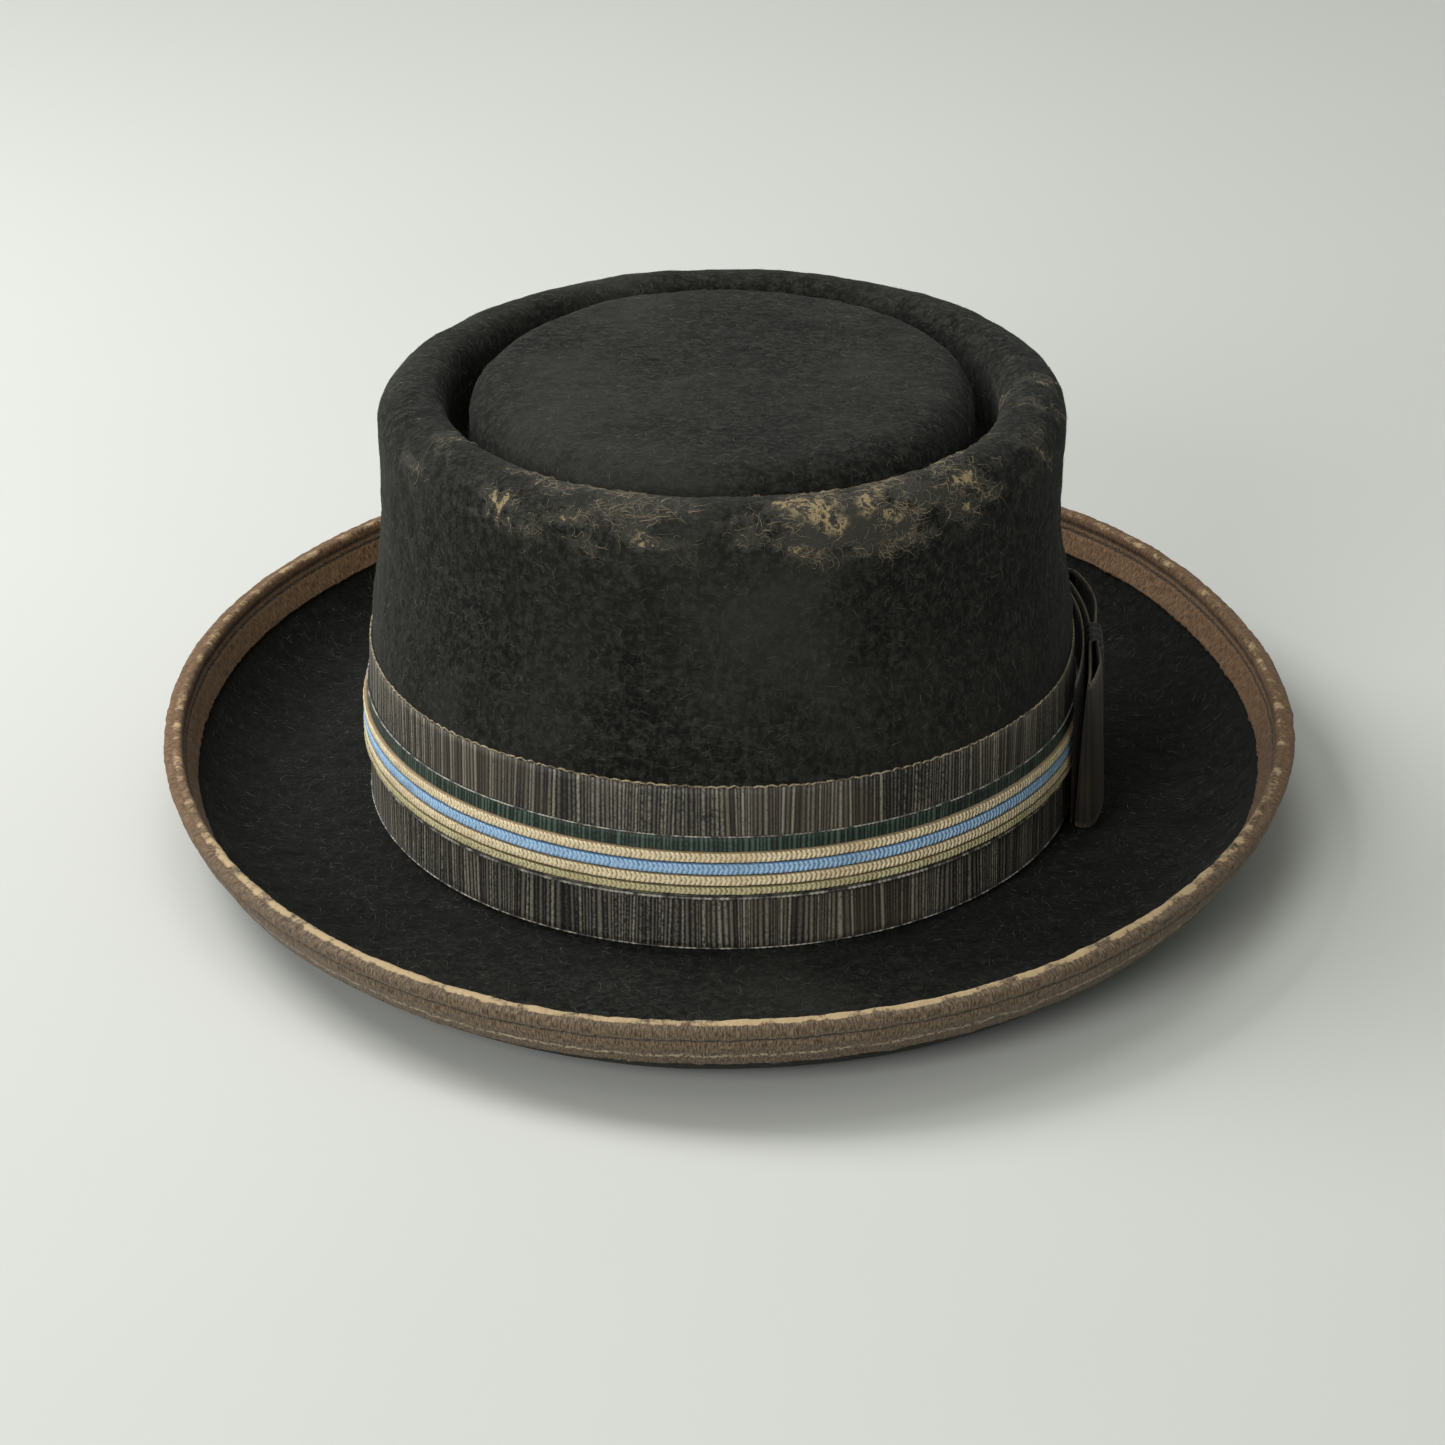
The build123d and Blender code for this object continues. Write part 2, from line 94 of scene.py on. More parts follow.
# %% Lamps and room light
# name, place in metres, width in metres, power in watts
lamps = [
    ("key lamp", (-0.66, 0.34, 0.78), 0.6, 8.0),
    ("front lamp", (-0.75, -1.5, 0.75), 0.8, 17),
    ("top lamp", (-0.1, 0.6, 2.0), 1.2, 8),
]
for name, place, size, watts in lamps:
    lamp = bpy.data.objects.new(name, bpy.data.lights.new(name, "AREA"))
    lamp.data.shape = "DISK"
    lamp.data.size = size
    lamp.data.energy = watts
    lamp.location = place
    aim = -lamp.location.normalized()
    lamp.rotation_euler = aim.to_track_quat("-Z", "Y").to_euler()
    bpy.context.scene.collection.objects.link(lamp)
room_colour = (0.80, 0.83, 0.79, 1)
room_strength = 0.42
world = bpy.data.worlds.new("room light")
bpy.context.scene.world = world
world.use_nodes = True
background = world.node_tree.nodes["Background"]
background.inputs["Color"].default_value = room_colour
background.inputs["Strength"].default_value = room_strength
bpy.context.scene.view_settings.view_transform = "Standard"
print(len(lamps), "lamps")

# %% [markdown]
# Materials are written as sums. A small class holds one output socket of a node tree, and its operators
# add the Math nodes, so that a mask reads as it would on paper. Colours never go through Math, because
# a Math node turns a colour grey: they are mixed by a Mix node.

# %% A socket that can be added and multiplied
class Wire:
    """One value in a material: a node's output, with the tree that it belongs to."""

    def __init__(self, paint, socket):
        self.paint, self.socket = paint, socket

    def maths(self, operation, *others, swap=False):
        values = [other.socket if isinstance(other, Wire) else other for other in others]
        values = values + [self.socket] if swap else [self.socket] + values
        return self.paint.node("ShaderNodeMath", {"operation": operation}, values)

    def __add__(self, other):
        return self.maths("ADD", other)

    def __sub__(self, other):
        return self.maths("SUBTRACT", other)

    def __rsub__(self, other):
        return self.maths("SUBTRACT", other, swap=True)

    def __mul__(self, other):
        return self.maths("MULTIPLY", other)

    __radd__, __rmul__ = __add__, __mul__


print("sockets can be added and multiplied")


# %% A material to paint on
class Paint:
    """A material with one Principled shader and short ways to feed it."""

    def __init__(self, name):
        self.material = bpy.data.materials.new(name)
        self.material.use_nodes = True
        self.tree = self.material.node_tree
        self.shader = self.tree.nodes["Principled BSDF"]

    def node(self, kind, settings=None, inputs=None, output=0):
        """Adds a node: settings first, then values or links for its sockets, by number or by name."""
        made = self.tree.nodes.new(kind)
        for key, value in (settings or {}).items():
            setattr(made, key, value)
        pairs = inputs.items() if isinstance(inputs, dict) else enumerate(inputs or [])
        for key, value in pairs:
            self.feed(made.inputs[key], value)
        return Wire(self, made.outputs[output])

    def feed(self, socket, value):
        value = value.socket if isinstance(value, Wire) else value
        if isinstance(value, bpy.types.NodeSocket):
            self.tree.links.new(value, socket)
        else:
            socket.default_value = value

    def place(self, scale=(1, 1, 1)):
        """The point on the object in metres, stretched by a scale."""
        point = self.node("ShaderNodeTexCoord", output="Object")
        return self.node("ShaderNodeVectorMath", {"operation": "MULTIPLY"}, [point, scale])

    def noise(self, per_metre, detail=3.0, scale=(1, 1, 1), roughness=0.55, distortion=0.0):
        inputs = {"Vector": self.place(scale), "Scale": per_metre, "Detail": detail,
                  "Roughness": roughness, "Distortion": distortion}
        return self.node("ShaderNodeTexNoise", {}, inputs)

    def mark(self, name):
        """A value stored on the mesh's points."""
        return self.node("ShaderNodeAttribute", {"attribute_name": name}, output="Fac")

    def between(self, value, low, high):
        """0 below low, 1 above high and a smooth step between."""
        return self.node("ShaderNodeMapRange", {"interpolation_type": "SMOOTHSTEP"},
                         {"Value": value, "From Min": low, "From Max": high})

    def mix(self, factor, first, second):
        """A mix of two colours."""
        made = self.tree.nodes.new("ShaderNodeMix")
        made.data_type = "RGBA"
        self.feed(made.inputs[0], factor)
        self.feed(made.inputs[6], first)
        self.feed(made.inputs[7], second)
        return Wire(self, made.outputs[2])

    def bump(self, height, strength, distance):
        return self.node("ShaderNodeBump", {}, {"Height": height, "Strength": strength, "Distance": distance})

    def finish(self, colour, roughness, normal=None, **steady):
        """Feeds the shader: what changes over the surface by links, what is steady on its own socket."""
        self.feed(self.shader.inputs["Base Color"], colour)
        self.feed(self.shader.inputs["Roughness"], roughness)
        if normal:
            self.feed(self.shader.inputs["Normal"], normal)
        for key, value in steady.items():
            self.shader.inputs[key.replace("_", " ")].default_value = value
        return self.material


def tone(red, green, blue):
    """A linear colour."""
    return (red, green, blue, 1)


print("painting tools ready")

# %% [markdown]
# Every piece is a mesh over a grid of points, made by the few calls below. The floor is the first: a disc
# with a soft rise at its far rim.

# %% Turn meshes from grids of points
def mesh_piece(name, points, faces, marks=None):
    """A mesh object from points in millimetres and faces as rows of point numbers (-1 pads a triangle)."""
    faces = np.asarray(faces)
    sizes = (faces >= 0).sum(1)
    corners = faces[faces >= 0]
    mesh = bpy.data.meshes.new(name)
    mesh.vertices.add(len(points))
    mesh.vertices.foreach_set("co", (np.asarray(points) * MM).astype(np.float32).ravel())
    mesh.loops.add(len(corners))
    mesh.loops.foreach_set("vertex_index", corners.astype(np.int32))
    mesh.polygons.add(len(faces))
    mesh.polygons.foreach_set("loop_start", (np.cumsum(sizes) - sizes).astype(np.int32))
    mesh.polygons.foreach_set("use_smooth", np.full(len(faces), True))
    for key, values in (marks or {}).items():
        layer = mesh.attributes.new(key, "FLOAT", "POINT")
        layer.data.foreach_set("value", np.asarray(values, np.float32).ravel())
    mesh.update(calc_edges=True)
    piece = bpy.data.objects.new(name, mesh)
    bpy.context.scene.collection.objects.link(piece)
    return piece


def grid_faces(rows, columns, close_rows=False, close_columns=True):
    """Quads over a grid of points, which may close on itself either way."""
    i = np.arange(rows if close_rows else rows - 1)[:, None]
    j = np.arange(columns if close_columns else columns - 1)[None, :]
    below, right = (i + 1) % rows, (j + 1) % columns
    quads = [i * columns + j, below * columns + j, below * columns + right, i * columns + right]
    return np.stack(quads, -1).reshape(-1, 4)


def capped(name, grid, marks=None):
    """A mesh from a grid that closes on itself, with a fan of triangles over its first and last rows."""
    rows, columns = grid.shape[:2]
    points = np.concatenate([grid.reshape(-1, 3), [grid[0].mean(0), grid[-1].mean(0)]])
    j = np.arange(columns)
    right, centre, pad = (j + 1) % columns, 0 * j + rows * columns, 0 * j - 1
    last = (rows - 1) * columns
    fans = [np.stack([centre, j, right, pad], 1), np.stack([centre + 1, last + right, last + j, pad], 1)]
    spread = {key: np.append(value, [0, 0]) for key, value in (marks or {}).items()}
    return mesh_piece(name, points, np.concatenate([grid_faces(rows, columns), *fans]), spread)


print("mesh tools ready")


# %% Floor
paper = Paint("pale paper")
mottle = paper.noise(1.4, detail=4, roughness=0.6)
paper_colour = paper.mix(mottle, tone(0.57, 0.58, 0.545), tone(0.66, 0.67, 0.635))
paper_finish = paper.finish(paper_colour, 0.85)
rings = [(0.001, 0), (1000, 0), (3000, 0), (4200, 60), (5200, 400), (5800, 1100), (6000, 2200)]
spoke_count = 96
spokes = np.linspace(0, 2 * np.pi, spoke_count, endpoint=False)
floor_points = np.concatenate(
    [np.stack([r * np.cos(spokes), r * np.sin(spokes), np.full(spoke_count, float(z))], 1) for r, z in rings])
floor = mesh_piece("floor", floor_points, grid_faces(len(rings), spoke_count))
floor.data.materials.append(paper_finish)
print("floor across, m:", 2 * rings[-1][0] * MM)

# %% [markdown]
# A hatter shapes felt over an oval block, so every ring of the hat is an oval swept from one profile.
# A profile corner is (half width, half length, height, radius), and distances along the profile are
# counted in the mean plane between the side and the end of the oval. The same rule shapes the ribbons,
# which are the felt's profile pushed outwards.

# %% Profiles
def mean_step(start, end):
    return np.array([(end[0] - start[0] + end[1] - start[1]) / 2, end[2] - start[2]])


def unit_step(start, end):
    step = mean_step(start, end)
    return step / np.hypot(*step)


def offset_run(run, distance):
    """The run pushed sideways to the left of its direction."""
    steps = [unit_step(start, end) for start, end in zip(run, run[1:])]
    shifted = []
    for (a, b, z, radius), before, after in zip(run, steps[:1] + steps, steps + steps[-1:]):
        mitre = distance / (1 + before @ after)
        across, up = -(before[1] + after[1]) * mitre, (before[0] + after[0]) * mitre
        tighter = distance if before[0] * after[1] - before[1] * after[0] > 0 else -distance
        shifted.append((a + across, b + across, z + up, max(radius - tighter, 0) if radius else 0))
    return shifted


print("offset tool ready")


# %% Rounded corners
def rounded(run, spacing):
    """Points along a run with its corners rounded, about a spacing apart, as rows of (a, b, z)."""
    cosines, wanted = [], []
    for i, corner in enumerate(run):
        turn = 1.0
        if 0 < i < len(run) - 1:
            turn = unit_step(run[i - 1], corner) @ unit_step(corner, run[i + 1])
        cosines.append(min(math.sqrt(max((1 + turn) / 2, 1e-9)), 1.0))
        wanted.append(corner[3] * math.sqrt(1 - cosines[-1] ** 2) / cosines[-1])
    points = []
    for i, corner in enumerate(run):
        centre, reach = np.array(corner[:3]), wanted[i]
        for j in (i - 1, i + 1):
            if reach > 0:
                leg = np.hypot(*mean_step(corner, run[j]))
                reach = min(reach, leg * wanted[i] / (wanted[i] + wanted[j]))
        if reach < 1e-4:
            points.append(centre)
            continue
        before, after = run[i - 1], run[i + 1]
        entry = centre + (np.array(before[:3]) - centre) * reach / np.hypot(*mean_step(corner, before))
        leave = centre + (np.array(after[:3]) - centre) * reach / np.hypot(*mean_step(corner, after))
        for t in np.linspace(0, 1, max(4, int(2 * reach / spacing) + 1)):
            weights = np.array([(1 - t) ** 2, 2 * t * (1 - t) * cosines[i], t ** 2])
            points.append(weights @ np.array([entry, centre, leave]) / weights.sum())
    points = np.array(points)
    steps = np.hypot((np.diff(points[:, 0]) + np.diff(points[:, 1])) / 2, np.diff(points[:, 2]))
    along = np.concatenate([[0], np.cumsum(steps)])
    places = np.linspace(0, along[-1], max(2, int(along[-1] / spacing) + 1))
    return np.stack([np.interp(places, along, points[:, k]) for k in range(3)], 1)


print("profile tools ready")


# %% [markdown]
# Ribs, braids and stitches are counted by length, but equal turns of an oval are not equal lengths. So
# the columns of each ring stand at equal distances round the oval.

# %% Sweeping a profile round the oval
def even_turns(a, b, count):
    """Turns at equal distances round the oval (a, b), from the back."""
    fine = np.linspace(0, 2 * np.pi, 7201) + math.pi / 2
    steps = np.hypot(np.diff(a * np.cos(fine)), np.diff(b * np.sin(fine)))
    along = np.concatenate([[0], np.cumsum(steps)])
    return np.interp(np.arange(count) / count * along[-1], along, fine), along[-1]


def swept(profile, turns):
    """The grid of points of a profile swept round the oval."""
    a, b, z = profile.T[:, :, None]
    return np.stack([a * np.cos(turns), b * np.sin(turns), z + 0 * turns], -1)


def grid_normals(grid, close_rows=False):
    """Unit normals of a grid of points, to the left of the profile's direction."""
    down = np.roll(grid, -1, 0) - np.roll(grid, 1, 0)
    if not close_rows:
        down[0], down[-1] = grid[1] - grid[0], grid[-1] - grid[-2]
    round_way = np.roll(grid, -1, 1) - np.roll(grid, 1, 1)
    normal = np.cross(down, round_way)
    return normal / np.maximum(np.linalg.norm(normal, axis=-1, keepdims=True), 1e-9)


def lumps(points, size, name, count=14):
    """Soft random hills over points, about 1 high, with a wavelength in millimetres."""
    rng = dice(name)
    waves = rng.normal(size=(count, 3))
    waves *= (2 * np.pi / size * rng.uniform(0.7, 1.4, count) / np.linalg.norm(waves, axis=1))[:, None]
    phases = rng.uniform(0, 2 * np.pi, count)
    total = np.zeros(points.shape[:-1])
    for wave, phase in zip(waves, phases):
        total += np.sin(points @ wave + phase)
    return total / math.sqrt(count / 2) / 1.6


print("oval tools ready")

# %% [markdown]
# The sizes of the felt come from the frame's boxes where a box shows them, and the rest are the hatter's
# own measures. The crown's foot is the inside of the band, and the lip lies a little inside the box,
# because the box is that of the underside.

# %% Measures of the hat
felt_thick = 2.4
band_thick, cloth_gap = 0.6, 0.05
brim_break_z, brim_break_radius = 4.6, 1.2
curl_radius, curl_turn = 29.5, math.radians(72)
_, band_high = box_mm("hat_band")
crown_a = band_high[0] - band_thick - cloth_gap
crown_b = band_high[1] - band_thick - cloth_gap + 0.1
curl_a = felt_high[0] - (curl_radius + felt_thick) * math.sin(curl_turn)
curl_b = felt_high[1] - (curl_radius + felt_thick) * math.sin(curl_turn)
curl_z = felt_thick + curl_radius
dome_top = felt_high[2]
rim_z = dome_top - 2.4
groove_z = rim_z - 22.0


def leaned(corner, side, end, z, radius):
    """The next profile corner, nearer the middle by a side and an end distance."""
    return (corner[0] - side, corner[1] - end, z, radius)


wall_foot = (crown_a, crown_b, brim_break_z, brim_break_radius)
shoulder = leaned(wall_foot, 0.3, 4.4, 52, 80)
waist = leaned(shoulder, 3.4, 6.4, 76, 70)
rim_outer = leaned(waist, -0.2, 1.8, rim_z, 9.4)
rim_inner = leaned(rim_outer, 16.2, 15.0, rim_z, 6.0)
groove_outer = leaned(rim_inner, 0, 0, groove_z, 2.2)
groove_inner = leaned(groove_outer, 5.6, 3.8, groove_z, 2.2)
dome_edge = leaned(groove_inner, 0, 0, dome_top - 0.7, 10)
dome_middle = (10, 10 * crown_b / crown_a, dome_top, 0)
print("crown foot, mm:", round(crown_a, 1), round(crown_b, 1), "rim at", round(rim_z, 1))


# %% The curl and the whole run
def curl_corner(turn, radius, round_off=0):
    """A point of the curl, at a turn from its lowest line."""
    reach = radius * math.sin(turn)
    return (curl_a + reach, curl_b + reach, curl_z - radius * math.cos(turn), round_off)


def curl_run(start, end):
    """The curl's upper face between two turns, as one rounded corner."""
    half = (end - start) / 2
    corner = curl_corner(start + half, curl_radius / math.cos(half), curl_radius)
    return [curl_corner(start, curl_radius), corner, curl_corner(end, curl_radius)]


rest_ring = (curl_a - 3, curl_b - 3, felt_thick, 30)
crown_run = [rim_outer, waist, shoulder, wall_foot]
felt_run = [dome_middle, dome_edge, groove_inner, groove_outer, rim_inner, *crown_run, rest_ring]
felt_run += curl_run(0, curl_turn)[1:]


def wall_at(z):
    """The crown's outer face at a height."""
    for upper, lower in zip(crown_run, crown_run[1:]):
        if z >= lower[2]:
            break
    share = (z - lower[2]) / (upper[2] - lower[2])
    return tuple(lower[k] + (upper[k] - lower[k]) * share for k in range(3)) + (0,)


def wall_run(top, foot):
    """The crown's outer face between two heights, downwards, so that its left is outside."""
    bends = [corner for corner in crown_run[1:-1] if foot < corner[2] < top]
    return [wall_at(top), *bends, wall_at(foot)]


print("felt profile corners:", len(felt_run))

# %% [markdown]
# Felt that has been worn for years is never a clean oval. One gentle push, shared by every piece, leans
# and dents the whole hat, so that the ribbons stay on the crown and the binding stays on the lip.

# %% The wear of years, shared by every piece
# turn in degrees, spread in degrees, rise in millimetres
lip_pushes = [(-112, 34, -2.2), (-150, 26, -1.0), (-30, 30, 1.8), (60, 40, 0.8), (120, 34, -0.6)]
# turn, height, spread round the wall, spread in height, depth
wall_dents = [(-97, 62, 20, 14, 1.5), (-58, 74, 16, 10, 0.7), (-128, 48, 18, 16, 0.8),
              (165, 66, 22, 14, 0.9), (20, 70, 18, 14, 0.8), (84, 64, 26, 15, 1.3)]
# turn, spread, push outwards
rim_fullness = [(40, 30, 1.6), (-20, 24, 0.8), (150, 30, -0.5)]
brim_shift = 1.6              # the brim has moved over to the wearer's left


def near(turns, middle, spread):
    """1 at a turn in degrees, fading over a spread."""
    away = (np.degrees(turns) - middle + 180) % 360 - 180
    return np.exp(-(away / spread) ** 2)


def step_up(value, low, high):
    t = np.clip((value - low) / (high - low), 0, 1)
    return t * t * (3 - 2 * t)


def settle(points):
    """Points moved as the old hat has moved."""
    x, y, z = points[..., 0], points[..., 1], points[..., 2]
    turns = np.arctan2(y / crown_b, x / crown_a)
    out = np.stack([np.cos(turns), np.sin(turns), 0 * turns], -1)
    from_middle = np.hypot(x / crown_a, y / crown_b)
    on_brim = step_up(from_middle, 1.12, 1.55) * step_up(z, 3, 18)
    on_crown = step_up(z, 12, 60)
    rise = sum(push * near(turns, middle, spread) for middle, spread, push in lip_pushes) * on_brim
    rise = rise + 0.35 * lumps(points * [1, 1, 0], 95, "brim wave") * on_brim
    outwards = -sum(
        depth * near(turns, middle, spread) * np.exp(-((z - height) / tall) ** 2)
        for middle, height, spread, tall, depth in wall_dents) * step_up(from_middle, 0.75, 0.9)
    outwards = outwards + step_up(z, 70, rim_z) * step_up(from_middle, 0.5, 0.8) * sum(
        push * near(turns, middle, spread) for middle, spread, push in rim_fullness)
    outwards = outwards + 0.45 * lumps(points * [1, 1, 0.6], 70, "crown lean") * on_crown
    moved = points + out * outwards[..., None]
    moved[..., 2] += rise
    moved[..., 0] += brim_shift * on_brim
    return moved


print(len(lip_pushes), "waves in the brim,", len(wall_dents), "dents in the wall")


# %% [markdown]
# The felt is one sheet: up the dome, down into the groove, over the rim, down the wall and out to the
# lip, then back along the underside. It is a grid of points, closed by a small fan in the middle of each
# face. Hills a few millimetres wide are real shape. The nap's finer grain is left to the material.

# %% Felt profile
felt_columns = 800
felt_turns, _ = even_turns(crown_a, crown_b, felt_columns)
middle_start = (0.8, 0.9, dome_top, 0)
outer_profile = rounded([middle_start, *felt_run], 1.15)
under_run = offset_run([middle_start, *felt_run], -felt_thick)
under_profile = rounded(under_run, 3.2)[::-1]
outer_rows = len(outer_profile)
felt_profile = np.concatenate([outer_profile, under_profile])
plain_felt = swept(felt_profile, felt_turns)
felt_sides = grid_normals(plain_felt)
print("felt rows:", outer_rows, "outside,", len(under_profile), "inside")

# %% Where the felt has worn
row_z, row_a = felt_profile[:, 2], felt_profile[:, 0]
is_outer = np.arange(len(felt_profile)) < outer_rows
on_rim_side = is_outer & (row_a > rim_inner[0] - 3) & (row_z > 84)
rim_wear_rows = np.where(on_rim_side, step_up(row_z, 90, 101), 0)
under_ribbon = is_outer & (row_z < 47) & (row_z > 5) & (row_a < crown_a + 1)
free_rows = np.where(is_outer & ~under_ribbon, 1.0, 0.25) * np.where(row_a > felt_high[0] - 9, 0.2, 1.0)

# turn, spread, amount
worn_places = [(-152, 7, 0.8), (-128, 11, 1.0), (-108, 10, 1.0), (-90, 12, 0.55), (-77, 10, 0.9),
               (-63, 10, 1.2), (-44, 12, 1.0), (-22, 8, 0.7), (-4, 9, 0.9), (14, 8, 0.5), (178, 8, 0.6),
               (120, 20, 0.3)]
worn_round = sum(amount * near(felt_turns, middle, spread) for middle, spread, amount in worn_places)
hills = lumps(plain_felt * [0.45, 0.45, 1], 6, "rim wear") * 0.5 + lumps(plain_felt, 3.0, "rim fray") * 0.30
worn = 0.10 + 0.40 * worn_round[None, :] + hills * (0.22 + 0.30 * worn_round[None, :])
worn = np.clip(rim_wear_rows[:, None] * worn, 0, 1)
torn = step_up(worn, 0.52, 0.72)
tear_depth = 0.42
print("share of the rim that is torn:", round(float(torn[rim_wear_rows > 0.5].mean()), 2))

# %% Felt body
relief = 0.22 * lumps(plain_felt, 26, "felt hills") + 0.10 * lumps(plain_felt, 10, "felt lumps")
relief += 0.05 * lumps(plain_felt, 4.6, "felt grain")
felt_grid = plain_felt + felt_sides * (relief * free_rows[:, None] - tear_depth * torn)[..., None]
felt_grid = settle(felt_grid)
felt_grid[..., 2] = np.maximum(felt_grid[..., 2], 0)
felt = capped("felt_hood", felt_grid, {"worn": worn})
print("felt hood:", len(felt_grid), "rows of", felt_columns, "points")


# %% Dressing a piece
def dress(piece, finish, slot, *nodes):
    """Gives a piece its finish and the body that it rides on; its slot is not used."""
    piece.data.materials.append(finish)
    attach(piece, "root")
    if nodes:
        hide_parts(*nodes)
    print(f"{piece.name}: {len(piece.data.polygons)} faces")


def declare_sheet(piece, width, length, held, below, **more):
    """Turns a cloth's flat size into metres and keeps nothing; held, below and more are not used."""
    width * MM
    length * MM


print("dressing tools ready")

# %% [markdown]
# The felt's finish is nearly black, but never one black: the nap lies in streaks, the brim's sides and back
# are painted shade and its front and the crown's top painted light, dust greys some of the lit parts, and
# where the rim's edge has worn through, the pale core of the fur shows. The wear mark stored on the mesh
# says where, and a fine noise breaks its border into fibres.

# %% Felt finish
paint = Paint("black fur felt")
broad = paint.noise(18, detail=4)
streaks = paint.noise(620, detail=4, scale=(1, 1, 0.55), distortion=0.9)
cross_streaks = paint.noise(760, detail=4, scale=(0.45, 0.8, 1), distortion=1.1)
specks = paint.noise(1500, detail=2)
nap = streaks * 0.5 + cross_streaks * 0.5
nap_share = paint.between(nap, 0.40, 0.66)
# Two tones of one nap: the first is painted shade for the brim's sides and back, the second painted light for
# the crown's top and the brim's front.
painted_shade_tone = paint.mix(nap_share, tone(0.0026, 0.0030, 0.0022), tone(0.0115, 0.0120, 0.0095))
painted_light_tone = paint.mix(nap_share, tone(0.0050, 0.0054, 0.0043), tone(0.029, 0.0295, 0.0245))
towards_back = paint.node("ShaderNodeSeparateXYZ", {}, [paint.place()], output=1)
height = paint.node("ShaderNodeSeparateXYZ", {}, [paint.place()], output=2)
high = paint.between(height, 0.020, 0.050)
# The share of painted light: 1 on the upper crown and the brim's front, 0 in the painted shade of the brim's
# sides and back.
painted_light_share = high + (1 - high) * paint.between(towards_back, -0.075, -0.145)
dark = paint.mix(painted_light_share, painted_shade_tone, painted_light_tone)
# Grey dust in patches, laid only where the felt is painted as lit.
dust_and_painted_light = paint.mix(paint.between(broad, 0.42, 0.72) * painted_light_share * 0.55, dark, tone(0.040, 0.039, 0.033))
lint = paint.between(specks * 0.6 + cross_streaks * 0.4, 0.62, 0.70)
dust_and_painted_light = paint.mix(lint * 0.55, dust_and_painted_light, tone(0.095, 0.092, 0.078))
fray = paint.mark("worn") + (paint.noise(1100, detail=5, roughness=0.7) - 0.5) * 1.1
tufts = paint.noise(95, detail=2)
worn_mask = paint.between(fray, 0.36, 0.62)
core_mask = paint.between(fray, 0.74, 0.82) * (1 - paint.between(fray, 0.90, 1.04))
core_mask = core_mask * paint.between(tufts, 0.50, 0.60)
rubbed = paint.mix(worn_mask * 0.75, dust_and_painted_light, tone(0.052, 0.050, 0.042))
felt_colour = paint.mix(core_mask * 0.85, rubbed, tone(0.36, 0.275, 0.145))
nap_bump = paint.bump(nap + fray * 0.4, 0.75, 0.0005)
felt_finish = paint.finish(felt_colour, 0.92, nap_bump, Sheen_Weight=0.05, Sheen_Roughness=0.45,
                           Sheen_Tint=tone(0.75, 0.78, 0.72), Specular_IOR_Level=0.10)
dress(felt, felt_finish, "felt", "felt_body")

# %% [markdown]
# Threads, stitches and loose hairs are all thin tubes along a path. One helper makes any number of them
# at once: paths are an array of (strands, points, 3), and each tube keeps a steady side by a reference
# direction. A path that closes makes a thread all the way round the hat.

# %% Tubes along many paths
def strands(name, paths, radius, sides=3, closed=False, reference=None, marks=None):
    """Tubes along paths in millimetres. radius is one number, or one for each point."""
    paths = np.asarray(paths, float)
    count, length = paths.shape[:2]
    forward = np.roll(paths, -1, 1) - np.roll(paths, 1, 1)
    if not closed:
        forward[:, 0], forward[:, -1] = paths[:, 1] - paths[:, 0], paths[:, -1] - paths[:, -2]
    forward /= np.maximum(np.linalg.norm(forward, axis=-1, keepdims=True), 1e-9)
    reference = np.array([0.13, 0.21, 0.97]) if reference is None else reference
    side = np.cross(forward, reference)
    side /= np.maximum(np.linalg.norm(side, axis=-1, keepdims=True), 1e-9)
    up = np.cross(side, forward)
    radius = np.broadcast_to(np.asarray(radius, float), (count, length))[..., None, None]
    around = np.arange(sides) * 2 * np.pi / sides
    rim = side[:, :, None] * np.cos(around)[:, None] + up[:, :, None] * np.sin(around)[:, None]
    points = (paths[:, :, None] + rim * radius).reshape(-1, 3)
    spans = length if closed else length - 1
    s, i, j = np.meshgrid(np.arange(count), np.arange(spans), np.arange(sides), indexing="ij")
    along, round_way = (i + 1) % length, (j + 1) % sides
    number = lambda i, j: (s * length + i) * sides + j
    quads = np.stack([number(i, j), number(along, j), number(along, round_way), number(i, round_way)], -1)
    faces = quads.reshape(-1, 4)
    if not closed:
        width = max(4, sides)
        first = (np.arange(count) * length * sides)[:, None] + np.arange(sides)
        last = first[:, ::-1] + (length - 1) * sides
        caps = np.full((2 * count, width), -1)
        caps[:count, :sides], caps[count:, :sides] = first, last
        faces = np.concatenate([np.pad(faces, ((0, 0), (0, width - 4)), constant_values=-1), caps])
    spread = {key: np.repeat(np.broadcast_to(value, (count, length)).ravel(), sides)
              for key, value in (marks or {}).items()}
    return mesh_piece(name, points, faces, spread)


print("thread tools ready")

# %% [markdown]
# Fur felt sheds and gathers hairs. Each hair below starts on the felt, lies along it for a few
# millimetres in a slight curve and lifts a little at its ends. They are real strands, because a bump
# cannot cross the hat's outline.

# %% Loose hairs on the felt
def on_felt(row, column, lift):
    """Points on the felt at fractional rows and columns, raised off it."""
    row = np.clip(row, 0, outer_rows - 1.001)
    r, c = np.floor(row).astype(int), np.floor(column).astype(int)
    u, v = (row - r)[..., None], (column - c)[..., None]
    c, c_next = c % felt_columns, (c + 1) % felt_columns
    point = (felt_grid[r, c] * (1 - u) + felt_grid[r + 1, c] * u) * (1 - v)
    point += (felt_grid[r, c_next] * (1 - u) + felt_grid[r + 1, c_next] * u) * v
    return point + felt_out[r, c] * lift[..., None]


felt_out = grid_normals(felt_grid)
row_width = (felt_profile[:, 0] + felt_profile[:, 1]) / 2
column_step = 2 * np.pi * row_width / felt_columns
print("felt columns are up to", round(float(column_step.max()), 2), "mm apart")


